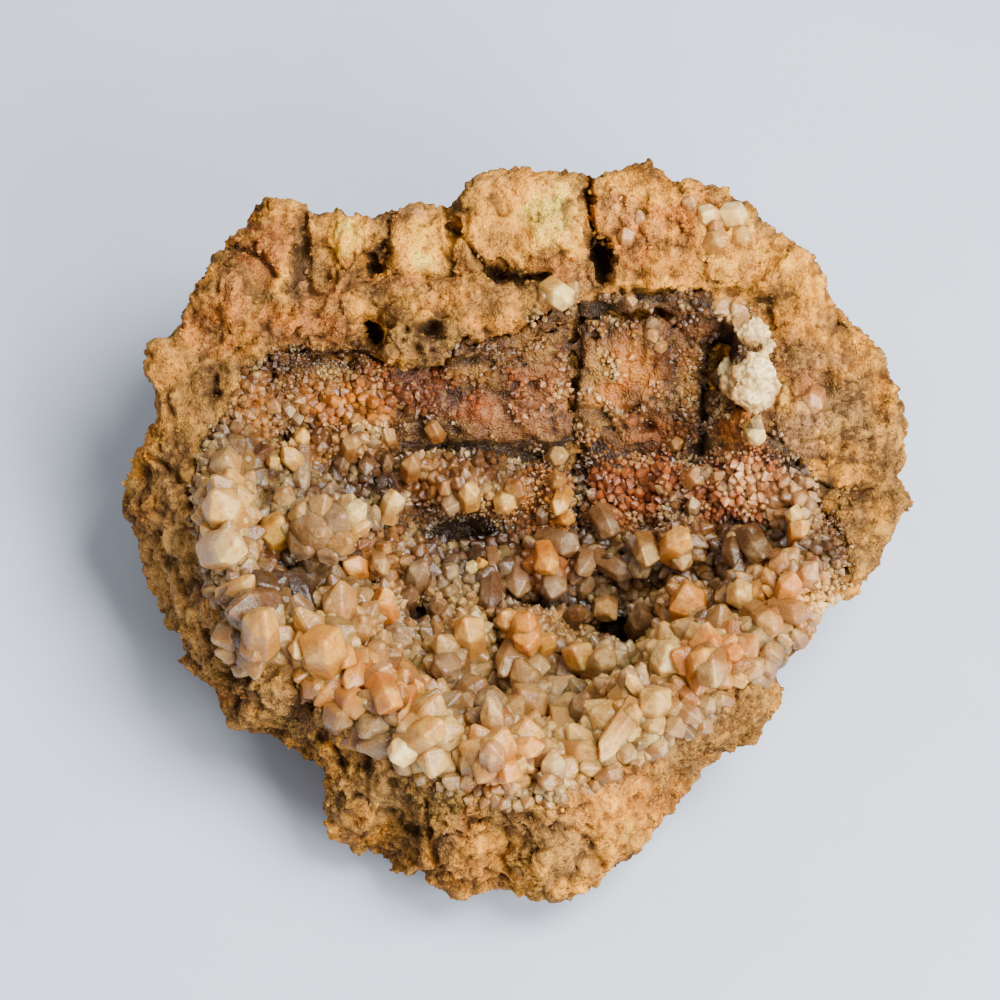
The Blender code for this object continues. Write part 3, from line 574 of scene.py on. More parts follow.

# %% [markdown]
# ## The rind's stains
# Spots, the large ones first, are laid over the drifting ground. Only what faces the viewer takes them. The
# umber, dark and a few brown spots on caves, cracks and the ledge's underside are painted shade. Fine veins,
# blots and grey dust then break them up, and the calm slabs are lightened as painted light.

# %% Rind: stains
# The umber and dark spots, and the brown ones in the notch and in the crack by the big slab, are painted shade
# in caves, cracks and under the ledge. The rest are the rock's own stains.
ROCK_STAINS = [
    (190, 390, 60, 70, "ochre"), (165, 365, 24, 22, "gold", 0.7), (215, 330, 40, 36, "orange", 0.7),
    (262, 245, 38, 50, "russet", 0.9), (228, 300, 24, 36, "orange", 0.7), (255, 215, 30, 14, "gold", 0.6),
    (302, 262, 14, 42, "greybrown", 0.8), (345, 240, 36, 32, "straw"), (330, 300, 34, 20, "pinkish", 0.8),
    (300, 328, 70, 18, "russet", 0.9), (250, 340, 24, 18, "gold", 0.6), (420, 242, 32, 40, "straw"),
    (412, 212, 30, 8, "greypink", 0.7), (515, 218, 72, 52, "straw"), (555, 215, 34, 46, "cream", 0.9),
    (505, 236, 26, 20, "ochre", 0.8), (468, 205, 18, 20, "ochre", 0.7), (520, 196, 16, 22, "gold", 0.7),
    (492, 212, 12, 26, "ochre", 0.5), (560, 270, 34, 14, "pinkish", 0.8),
    (400, 284, 80, 10, "pinkish", 0.7), (460, 300, 90, 16, "gold", 0.8), (430, 335, 46, 18, "olive", 0.8),
    (500, 325, 44, 14, "gold", 0.8), (660, 230, 74, 66, "orange"), (622, 212, 24, 30, "pinkish", 0.8),
    (690, 262, 54, 24, "gold"), (655, 186, 50, 20, "straw", 0.9), (600, 262, 14, 24, "brown"),
    (730, 225, 34, 26, "cream", 0.9), (770, 262, 40, 36, "straw", 0.9), (660, 286, 74, 9, "straw", 0.8),
    (800, 280, 44, 36, "straw", 0.9), (800, 320, 54, 26, "gold", 0.8), (795, 385, 46, 56, "pinkbeige"),
    (845, 350, 36, 44, "gold", 0.9), (845, 415, 40, 36, "greybrown", 0.8),
    (810, 408, 22, 16, "q_pink", 0.9), (800, 445, 36, 18, "greypink", 0.8),
    (820, 468, 50, 12, "straw", 0.8), (845, 525, 44, 40, "ochre"), (858, 560, 22, 22, "olive", 0.7),
    (640, 820, 84, 80, "gold"), (625, 835, 50, 50, "straw", 0.6), (700, 745, 64, 42, "ochre"),
    (745, 700, 30, 42, "ochre", 0.8), (545, 850, 50, 46, "tan"), (460, 855, 64, 30, "gold", 0.8),
    (450, 805, 44, 26, "olive", 0.9), (385, 785, 42, 44, "sand", 0.9), (350, 832, 22, 22, "tan", 0.8),
    (300, 722, 50, 42, "brown", 0.8), (240, 680, 60, 50, "sand", 0.9), (215, 692, 22, 12, "gold", 0.8),
    (165, 560, 50, 120, "wall"), (150, 520, 20, 56, "tan", 0.6), (205, 590, 14, 80, "greypink", 0.5),
    (575, 888, 34, 14, "straw", 0.9), (480, 882, 64, 12, "gold", 0.8), (206, 385, 10, 44, "umber", 0.6),
    (232, 372, 12, 22, "olive", 0.7), (176, 440, 16, 14, "umber", 0.5), (160, 400, 20, 20, "gold", 0.5),
    (236, 455, 12, 24, "sand", 0.8), (150, 505, 10, 20, "gold", 0.6), (136, 524, 8, 18, "russet", 0.7),
    (176, 560, 14, 18, "umber", 0.35), (160, 600, 14, 14, "tan", 0.7), (345, 762, 30, 20, "umber", 0.6),
    (400, 792, 26, 16, "umber", 0.6), (445, 850, 14, 26, "greybrown", 0.8),
    (424, 830, 9, 30, "umber", 0.6), (362, 815, 20, 14, "gold", 0.6), (540, 872, 26, 14, "gold", 0.8),
    (505, 815, 22, 14, "brown", 0.7), (540, 830, 18, 14, "umber", 0.5), (470, 822, 16, 22, "orange", 0.5),
    (640, 850, 24, 20, "cream", 0.5), (600, 800, 18, 24, "gold", 0.6), (270, 660, 16, 12, "umber", 0.6),
    (305, 720, 18, 14, "umber", 0.5), (225, 700, 20, 12, "orange", 0.5), (350, 835, 16, 12, "tan", 0.8),
    (838, 362, 26, 14, "greybrown", 0.6), (800, 425, 42, 14, "greypink", 0.9),
    (862, 432, 20, 14, "umber", 0.5), (850, 478, 28, 10, "gold", 0.8), (815, 332, 22, 10, "straw", 0.7),
    (845, 520, 16, 12, "umber", 0.5), (428, 328, 20, 10, "umber", 0.8), (440, 352, 34, 12, "umber", 0.5),
    (375, 335, 18, 26, "dark", 0.8), (378, 260, 12, 12, "brown", 0.9), (515, 275, 30, 6, "umber", 0.8),
    (602, 262, 9, 26, "umber", 0.8), (670, 235, 20, 12, "straw", 0.7),
    (640, 255, 16, 10, "redorange", 0.5), (690, 240, 18, 12, "orange", 0.8),
    (720, 262, 26, 8, "cream", 0.6), (610, 290, 30, 5, "amber", 0.8), (228, 285, 22, 24, "pinkish", 0.6),
    (268, 212, 24, 10, "straw", 0.6), (285, 315, 30, 14, "orange", 0.7), (846, 400, 14, 12, "umber", 0.8),
    (800, 358, 26, 12, "greybrown", 0.8), (782, 392, 10, 26, "cream", 0.5),
    (862, 345, 14, 20, "straw", 0.7), (790, 300, 26, 9, "umber", 0.5), (822, 388, 16, 8, "umber", 0.6),
    (835, 458, 34, 6, "umber", 0.7), (566, 200, 12, 30, "cream", 0.8), (425, 262, 22, 14, "cream", 0.7),
    (340, 226, 22, 10, "cream", 0.6), (405, 230, 4, 34, "ochre", 0.4), (436, 236, 4, 34, "ochre", 0.3),
]


def rock_colours(places, facing):
    """The stone's colour at each place, with painted shade and light. Facing is 0 on what the photograph
    doesn't show.
    """
    ground = ground_colours(places)
    px, py = bent_pixels(places, 9.0)
    colours = ground + (painted(px, py, ROCK_STAINS, ground) - ground) * facing[:, None]
    calm = strongest(px, py, CALM) * facing
    in_mm = places / MM
    drawn_out = np.array([in_mm[:, 0] / 1.1, in_mm @ np.array(UP) / 6.0, in_mm @ VIEWER / 4.0]).T
    veins, blots = noise_at(drawn_out, 1.0), noise_at(in_mm, 2.4, (3, 8, 1))
    dust = smooth(0.05, 0.40, noise_at(in_mm, 4.2, (5, 2, 6)))
    colours += (np.array(STAINS["greybrown"]) - colours) * (0.45 * dust * (1 - calm))[:, None]
    # Veins and blots are the rock's own tone. The 0.30 more on calm slabs is painted light on the slabs.
    shade = 1 + (0.7 * veins + 0.55 * blots) * (1 - 0.4 * calm) + 0.30 * calm
    return np.minimum(colours * shade[:, None], 1.0)


places, normals = points_of(stone.data)
# Faces that look down are darkened in the material: painted shade on the undersides.
under = 1 - smooth(-0.5, 0.1, normals[:, 2])
mark_colour(stone.data, "stain", rock_colours(places, facing))
mark(stone.data, "calm", calm)
# Low places, pores, caves and cracks are marked, and the material darkens them with umber: painted shade in the
# hollows.
mark(stone.data, "low", smooth(0.1, 1.6, -height - 0.6 * np.minimum(forms, 0)))
mark(stone.data, "proud", smooth(0.3, 1.5, height))
mark(stone.data, "under", under)
stone_tree = tree_of(stone.data)

# %% [markdown]
# ## Nodes that the stone and the crystals share
# Both need grain and mottling at the size of sand. That is one node group with a size in millimetres, made
# once. It reads Object coordinates, which are metres here, so it scales them first. Materials lay colours
# over a ground colour one after the other, each by its own share.

# %% Shared node groups
def wired(tree, socket, value):
    if isinstance(value, bpy.types.NodeSocket):
        tree.links.new(value, socket)
    else:
        socket.default_value = value


def add(tree, kind, **values):
    """A node with its inputs' values by name. A space in a name is written as _."""
    node = tree.nodes.new(kind)
    for name, value in values.items():
        wired(tree, node.inputs[name.replace("_", " ")], value)
    return node


def mixed(tree, share, first, second, blend="MIX"):
    """Two colours mixed by a share, each a socket or a colour."""
    node = tree.nodes.new("ShaderNodeMix")
    node.data_type = "RGBA"
    node.blend_type = blend
    for socket, value in ((node.inputs[0], share), (node.inputs[6], first), (node.inputs[7], second)):
        wired(tree, socket, value)
    return node.outputs[2]


def layered(tree, ground, layers):
    """The ground with colours laid over it in order. Each layer is a share and a colour."""
    for share, colour in layers:
        ground = mixed(tree, share, ground, colour)
    return ground


def sums(tree, kind, first, second=0.0):
    node = tree.nodes.new("ShaderNodeMath")
    node.operation = kind
    wired(tree, node.inputs[0], first)
    wired(tree, node.inputs[1], second)
    return node.outputs[0]


def scaled(tree, value, factor):
    return sums(tree, "MULTIPLY", value, factor)


def ranged(tree, value, low, high, to_low=0.0, to_high=1.0):
    """The value, eased from one range to another. It may run backwards."""
    node = tree.nodes.new("ShaderNodeMapRange")
    node.interpolation_type = "SMOOTHSTEP"
    tree.links.new(value, node.inputs["Value"])
    for name, number in (("From Min", low), ("From Max", high), ("To Min", to_low), ("To Max", to_high)):
        node.inputs[name].default_value = number
    return node.outputs[0]


def attribute(tree, name, output="Fac"):
    node = tree.nodes.new("ShaderNodeAttribute")
    node.attribute_name = name
    return node.outputs[output]


def stain(name):
    return STAINS[name] + (1.0,)


def group_of(name, inputs, outputs):
    tree = bpy.data.node_groups.new(name, "ShaderNodeTree")
    for label, kind, value in inputs:
        socket = tree.interface.new_socket(label, in_out="INPUT", socket_type=kind)
        if value is not None:
            socket.default_value = value
    for label, kind in outputs:
        tree.interface.new_socket(label, in_out="OUTPUT", socket_type=kind)
    return tree, tree.nodes.new("NodeGroupInput"), tree.nodes.new("NodeGroupOutput")


def bumpy(tree, shader, relief, strength, distance):
    bump = add(tree, "ShaderNodeBump", Height=relief, Strength=strength, Distance=distance)
    tree.links.new(bump.outputs["Normal"], shader.inputs["Normal"])


def make_grain_group():
    """Grain and Fine: sand. Mottle: slow patches. Chip: a value for each grain."""
    tree, given, result = group_of(
        "mineral_grain",
        [("Vector", "NodeSocketVector", None), ("Size", "NodeSocketFloat", 1.0)],
        [("Grain", "NodeSocketFloat"), ("Mottle", "NodeSocketFloat"), ("Fine", "NodeSocketFloat"),
         ("Chip", "NodeSocketFloat")],
    )
    scale = sums(tree, "DIVIDE", 1000.0, given.outputs["Size"])
    slow = sums(tree, "MULTIPLY", scale, 0.22)
    quick = sums(tree, "MULTIPLY", scale, 1.7)
    cells = add(tree, "ShaderNodeTexVoronoi", Vector=given.outputs["Vector"], Scale=scale)
    waves = add(tree, "ShaderNodeTexNoise", Vector=given.outputs["Vector"], Scale=slow,
                Detail=6.0, Roughness=0.62)
    fine = add(tree, "ShaderNodeTexNoise", Vector=given.outputs["Vector"], Scale=quick,
               Detail=3.0, Roughness=0.6)
    tree.links.new(ranged(tree, cells.outputs["Distance"], 0.05, 0.75, 1.0, 0.0), result.inputs["Grain"])
    tree.links.new(waves.outputs["Fac"], result.inputs["Mottle"])
    tree.links.new(fine.outputs["Fac"], result.inputs["Fine"])
    tree.links.new(cells.outputs["Color"], result.inputs["Chip"])
    return tree


MINERAL_GRAIN = make_grain_group()


def grain(tree, vector, size):
    node = tree.nodes.new("ShaderNodeGroup")
    node.node_tree = MINERAL_GRAIN
    tree.links.new(vector, node.inputs["Vector"])
    node.inputs["Size"].default_value = size
    return node.outputs


def new_material(name):
    """A material, its nodes, its shader and the object's own coordinates."""
    made = bpy.data.materials.new(name)
    made.use_nodes = True
    tree = made.node_tree
    place = tree.nodes.new("ShaderNodeTexCoord").outputs["Object"]
    return made, tree, tree.nodes["Principled BSDF"], place


# %% [markdown]
# ## The rind's material
# The rock is matt and grainy. Its stain comes from the mesh, and the material breaks it up: darker and
# lighter patches of sand and paler high places. Painted shade darkens the undersides, and umber painted
# shade fills the low places. Grains of two sizes make the bump.

# %% Rind: material
def make_rock():
    made, tree, shader, place = new_material("iron_stained_rock")
    sand, crumbs, patches = (grain(tree, place, size) for size in (0.55, 1.5, 4.0))
    ground = attribute(tree, "stain", "Color")
    darker = mixed(tree, 1.0, ground, (0.32, 0.24, 0.17, 1.0), "MULTIPLY")
    lighter = mixed(tree, 0.34, ground, stain("cream"))
    open_rock = ranged(tree, attribute(tree, "calm"), 0.0, 1.0, 1.0, 0.35)
    ground = layered(tree, ground, [
        (sums(tree, "MULTIPLY", ranged(tree, patches["Mottle"], 0.52, 0.38, 0.0, 0.85), open_rock), darker),
        (ranged(tree, crumbs["Mottle"], 0.54, 0.66, 0.0, 0.85), lighter),
        (ranged(tree, crumbs["Fine"], 0.48, 0.36, 0.0, 0.80), darker),
        (ranged(tree, sand["Fine"], 0.55, 0.66, 0.0, 0.50), lighter),
        (sums(tree, "MULTIPLY", ranged(tree, crumbs["Chip"], 0.40, 0.25, 0.0, 0.55), open_rock), darker),
        (ranged(tree, sand["Chip"], 0.60, 0.75, 0.0, 0.45), lighter),
        # Painted shade: undersides darker, low places umber.
        (scaled(tree, attribute(tree, "under"), 0.35), darker),
        (scaled(tree, attribute(tree, "proud"), 0.30), lighter),
        (scaled(tree, attribute(tree, "low"), 0.85), stain("umber")),
    ])
    tree.links.new(ground, shader.inputs["Base Color"])
    tree.links.new(ranged(tree, crumbs["Fine"], 0.3, 0.7, 0.70, 0.95), shader.inputs["Roughness"])
    relief = sums(tree, "ADD", scaled(tree, sand["Grain"], 0.25), scaled(tree, crumbs["Fine"], 1.1))
    relief = sums(tree, "ADD", relief, scaled(tree, sand["Fine"], 0.7))
    bumpy(tree, shader, relief, 1.0, 0.75 * MM)
    shader.inputs["Specular IOR Level"].default_value = 0.15
    return made


ROCK = make_rock()
stone.data.materials.clear()
stone.data.materials.append(ROCK)
stone.data.shade_smooth()
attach(stone, "root")
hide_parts("rind")

# %% [markdown]
# ## The bed that the crystals stand on
# Quartz grew inwards from the rock as one crust. Between the points shows its sugary ground. The solid's
# crust already has the right lie, so a copy is wrapped finely, softened until its coarse crystals are mere
# swells, given the photograph's clusters and gaps, and covered with little cones. On the back wall, where the
# crystals are fine, it is as crumbly as the rock.

# %% Crystal bed
BED_CELL = 0.67 * MM
SWELL = 0.45           # millimetres that the bed stands proud of the solid's crust
# The dark and umber spots, and the q_dark one, lie in the gaps, in the cracks and along the line under the
# overhanging rim: they are painted shade. The rest are the crust's own stains.
BED_STAINS = [
    (300, 368, 60, 10, "umber"), (318, 388, 74, 22, "ochre"), (262, 412, 34, 42, "honey", 0.9),
    (352, 406, 56, 28, "amber"), (385, 370, 28, 18, "redorange"), (430, 385, 54, 26, "rust"),
    (450, 402, 44, 20, "rust"), (430, 350, 34, 16, "brown"), (475, 378, 30, 18, "ochre"),
    (480, 410, 26, 16, "redorange", 0.8), (505, 420, 46, 30, "pinkbeige", 0.7),
    (545, 392, 36, 62, "pinkbeige", 0.9), (540, 345, 34, 26, "ochre", 0.8),
    (470, 447, 72, 10, "dark", 0.9), (400, 445, 30, 10, "umber", 0.8), (598, 370, 20, 56, "tan"),
    (635, 368, 34, 50, "amber"), (620, 395, 40, 20, "orange", 0.8), (665, 335, 40, 24, "brown", 0.9),
    (690, 325, 40, 22, "rust", 0.8), (690, 375, 16, 44, "honey", 0.9), (600, 432, 34, 24, "ochre"),
    (650, 432, 34, 26, "russet", 0.9), (704, 420, 9, 60, "umber", 0.9), (722, 350, 22, 26, "dark", 0.8),
    (728, 402, 20, 36, "brown"), (745, 432, 30, 36, "orange", 0.8), (742, 490, 62, 42, "redorange"),
    (790, 500, 34, 34, "q_pink", 0.7), (640, 482, 60, 36, "russet", 0.9),
    (584, 485, 14, 44, "umber", 0.9), (625, 508, 50, 24, "russet", 0.8), (300, 452, 44, 20, "honey", 0.9),
    (350, 442, 50, 14, "honey"), (440, 482, 50, 34, "honey"), (505, 500, 30, 24, "honey"),
    (548, 505, 30, 46, "amber", 0.8), (365, 486, 50, 16, "umber", 0.9), (460, 531, 62, 18, "dark", 0.9),
    (400, 522, 40, 34, "brown", 0.9), (380, 562, 60, 36, "honey", 0.9), (480, 572, 84, 20, "smoke"),
    (550, 570, 30, 26, "amber", 0.8), (580, 602, 94, 18, "smoke"), (622, 628, 50, 26, "dark", 0.9),
    (418, 614, 24, 16, "dark", 0.9), (282, 578, 40, 16, "umber"), (688, 548, 44, 30, "honey"),
    (645, 560, 34, 24, "smoke"), (752, 552, 54, 24, "brown", 0.8), (225, 500, 34, 60, "q_cream"),
    (240, 580, 40, 56, "q_honey"), (326, 527, 50, 42, "q_grey", 0.9), (330, 640, 60, 48, "q_cream"),
    (350, 685, 56, 32, "q_orange"), (404, 698, 40, 30, "q_orange", 0.9),
    (396, 632, 22, 28, "q_grey", 0.8), (455, 650, 44, 44, "q_beige"), (530, 645, 48, 38, "q_beige"),
    (500, 752, 52, 44, "q_orange"), (430, 740, 30, 40, "q_cream", 0.8), (468, 702, 38, 30, "q_grey", 0.8),
    (590, 672, 50, 28, "q_grey", 0.9), (572, 745, 28, 46, "q_cream"), (622, 715, 50, 28, "q_cream"),
    (668, 655, 28, 30, "q_cream"), (712, 658, 40, 36, "q_orange"), (688, 600, 40, 22, "q_beige"),
    (785, 590, 54, 40, "q_orange", 0.8), (500, 690, 12, 26, "q_dark", 0.8),
    (598, 306, 22, 9, "dark", 0.9), (652, 302, 44, 5, "dark", 0.8), (715, 302, 34, 8, "dark", 0.8),
    (660, 352, 10, 26, "rust", 0.8), (240, 600, 26, 10, "umber", 0.6), (282, 578, 36, 14, "dark"),
    (560, 604, 70, 8, "dark", 0.7), (640, 400, 30, 10, "brown", 0.7), (555, 425, 26, 12, "rust", 0.5),
    (520, 380, 20, 14, "redorange", 0.5), (400, 372, 22, 12, "rust", 0.8),
    (345, 396, 26, 10, "straw", 0.5), (355, 418, 26, 10, "gold", 0.8),
    (742, 470, 26, 14, "redorange", 0.8), (800, 470, 12, 16, "umber", 0.7),
    (775, 540, 34, 10, "umber", 0.5),
]


def crust_colours(places):
    px, py = bent_pixels(places, 7.0)
    front = smooth(560, 620, py)[:, None]
    ground = np.array(STAINS["brown"]) * (1 - front) + np.array(STAINS["q_beige"]) * front
    return painted(px, py, BED_STAINS, ground) * 0.9


bed = merged_copy("crystal_crust", "crystal_bed")
remesh(bed, BED_CELL)
soften(bed, 18)
places, normals = points_of(bed.data)
px, py = pixels_of(places)
facing = smooth(0.0, 0.3, normals @ VIEWER)
lift = lifted(px, py, CLUSTERS, [])
raised = np.minimum(lift, 0.0) + np.maximum(lift, 0.0) * facing
raised += (lifted(px, py, [], PANELS) - cracked(px, py, CRUST_CRACKS)) * facing
crumbly = 1 - smooth(415, 470, py + 20 * noise_at(places, 9 * MM))
furrowed = spot_share(px, py, (625, 368, 50, 56)) + 0.5 * spot_share(px, py, (545, 392, 36, 60))


def bed_height(p, crumbly, furrowed):
    """Cones of two sizes, or the rock's own relief and furrows on the back wall, in millimetres."""
    wide = max(1 - noise.voronoi(p / 2.4)[0][0] / 0.7, 0)
    small = max(1 - noise.voronoi(p / 1.25)[0][0] / 0.7, 0)
    cones = 0.75 * wide + 0.42 * small + 0.35 * noise.noise(p / 3.0) - 0.25
    furrow = noise.noise(Vector((p.x / 1.3, p.dot(UP) / 9.0, p.dot(TO_VIEWER) / 6.0)))
    crumbs = 0.85 * rock_height(p, 0.0, 0.5) + 0.4 * wide
    crumbs = crumbs + (0.9 * furrow - 0.45 * crumbs) * furrowed
    return cones * (1 - crumbly) + crumbs * crumbly


height = np.array([bed_height(Vector(p) / MM, c, f) for p, c, f in zip(places, crumbly, furrowed)])
moved = places + normals * ((height + SWELL) * MM)[:, None] + VIEWER * (raised * MM)[:, None]
move_points(bed.data, moved)
# The bed's colour is darkened most among the crystals, to 0.40, as painted shade between them; the crumbly back
# wall keeps 0.87.
mark_colour(bed.data, "stain", crust_colours(places) * (0.40 + 0.47 * crumbly)[:, None])
# Low places between the cones, on the back wall and in the gaps are marked, and the material darkens them:
# painted shade.
deep = np.where(crumbly > 0.5, smooth(0.1, 1.4, -height), 1 - smooth(-0.35, 0.35, height))
mark(bed.data, "low", np.maximum(deep, smooth(1.0, 4.0, -raised)))
print("bed:", len(places), "points")

# %% [markdown]
# ## One quartz point
# A quartz crystal is a six-sided column under a six-sided roof. Nature never makes the six roof faces alike,
# so the tip is moved off the axis and every second shoulder is lower. A cone of six segments with its top
# face poked gives the form, and a small bevel its worn edges. About a dozen shapes of each kind, one unit
# wide, are enough, because every copy is turned and stretched in its own way.

# %% Crystal shapes
def quartz_shape(seed, worn, rounds):
    """A crystal one unit wide, its shoulder at 1 and its tip at 2 up the column."""
    pick = random.Random(seed)
    bm = bmesh.new()
    bmesh.ops.create_cone(bm, cap_ends=True, segments=6, radius1=0.53, radius2=0.49, depth=1.0)
    bmesh.ops.translate(bm, verts=bm.verts, vec=(0, 0, 0.5))
    top = [f for f in bm.faces if f.normal.z > 0.9]
    ring = list(top[0].verts)
    tip = bmesh.ops.poke(bm, faces=top)["verts"]
    bmesh.ops.translate(bm, verts=tip, vec=(pick.uniform(-0.16, 0.16), pick.uniform(-0.16, 0.16), 1.0))
    for i, vert in enumerate(ring):
        vert.co.z += pick.uniform(-0.10, 0.10) - (0.16 if i % 2 else 0.0)
        vert.co.xy *= pick.uniform(0.88, 1.10)
    if rounds:
        edges = [e for e in bm.edges if max(v.co.z for v in e.verts) > 0.5]
        bmesh.ops.bevel(bm, geom=edges, offset=worn, offset_type="OFFSET", segments=rounds, profile=0.5,
                        affect="EDGES", material=-1)
    bmesh.ops.recalc_face_normals(bm, faces=bm.faces)
    mesh = bpy.data.meshes.new(f"shape_{seed}")
    bm.to_mesh(mesh)
    bm.free()
    return mesh


MAIN_SHAPES = [quartz_shape(seed, 0.06, 2) for seed in range(14)]
WORN_SHAPES = [quartz_shape(seed + 20, 0.055, 1) for seed in range(14)]
SMALL_SHAPES = [quartz_shape(seed + 40, 0.0, 0) for seed in range(10)]
print("faces:", [len(shapes[0].polygons) for shapes in (MAIN_SHAPES, WORN_SHAPES, SMALL_SHAPES)])

# %% [markdown]
# ## Setting crystals
# A crystal is a foot, an axis, a width, a column's length and a roof's height. Its shape's mesh is stretched
# from its rest points, turned by one matrix and read into the piece, which is quick enough for thousands.
# Each crystal's colour goes on all its points, with a number from 0 at the root to 1 at the tip, because
# roots are stained and tips clear.

# %% Crystal piece
FULL_TURN = 6.28


class Crystals:
    """Gathers crystals for one piece."""

    def __init__(self, shapes):
        self.bm = bmesh.new()
        self.shapes = [(shape, points_of(shape)[0]) for shape in shapes]
        self.counts, self.colours, self.along = [], [], []

    def add(self, foot, axis, width, column, roof, colour, spin, pick):
        shape, rest = self.shapes[pick % len(self.shapes)]
        bent = rest.copy()
        bent[:, 2] = np.minimum(rest[:, 2], 1.0) * column + np.maximum(rest[:, 2] - 1.0, 0.0) * roof
        bent[:, :2] *= width
        shape.vertices.foreach_set("co", bent.ravel())
        turn = axis.to_track_quat("Z", "Y").to_matrix().to_4x4() @ Matrix.Rotation(spin, 4, "Z")
        shape.transform(Matrix.Translation(foot) @ turn)
        self.bm.from_mesh(shape)
        self.counts.append(len(rest))
        self.colours.append(colour)
        self.along.append(bent[:, 2] / (column + roof))

    def finish(self, name):
        mesh = bpy.data.meshes.new(name)
        self.bm.to_mesh(mesh)
        self.bm.free()
        mark(mesh, "along", np.concatenate(self.along))
        mark_colour(mesh, "stain", np.repeat(np.array(self.colours), self.counts, axis=0))
        triangles = sum(len(face.vertices) - 2 for face in mesh.polygons)
        print(name, len(self.counts), "crystals,", triangles, "triangles")
        return new_piece(name, mesh)


def varied(colour, pick, amount=0.10):
    """The colour a little lighter or darker, warmer or cooler."""
    light = 1 + pick.uniform(-amount, amount)
    warm = pick.uniform(-0.5, 0.5) * amount
    return [min(part * light * tilt, 1) for part, tilt in zip(colour, (1 + warm, 1, 1 - warm))]
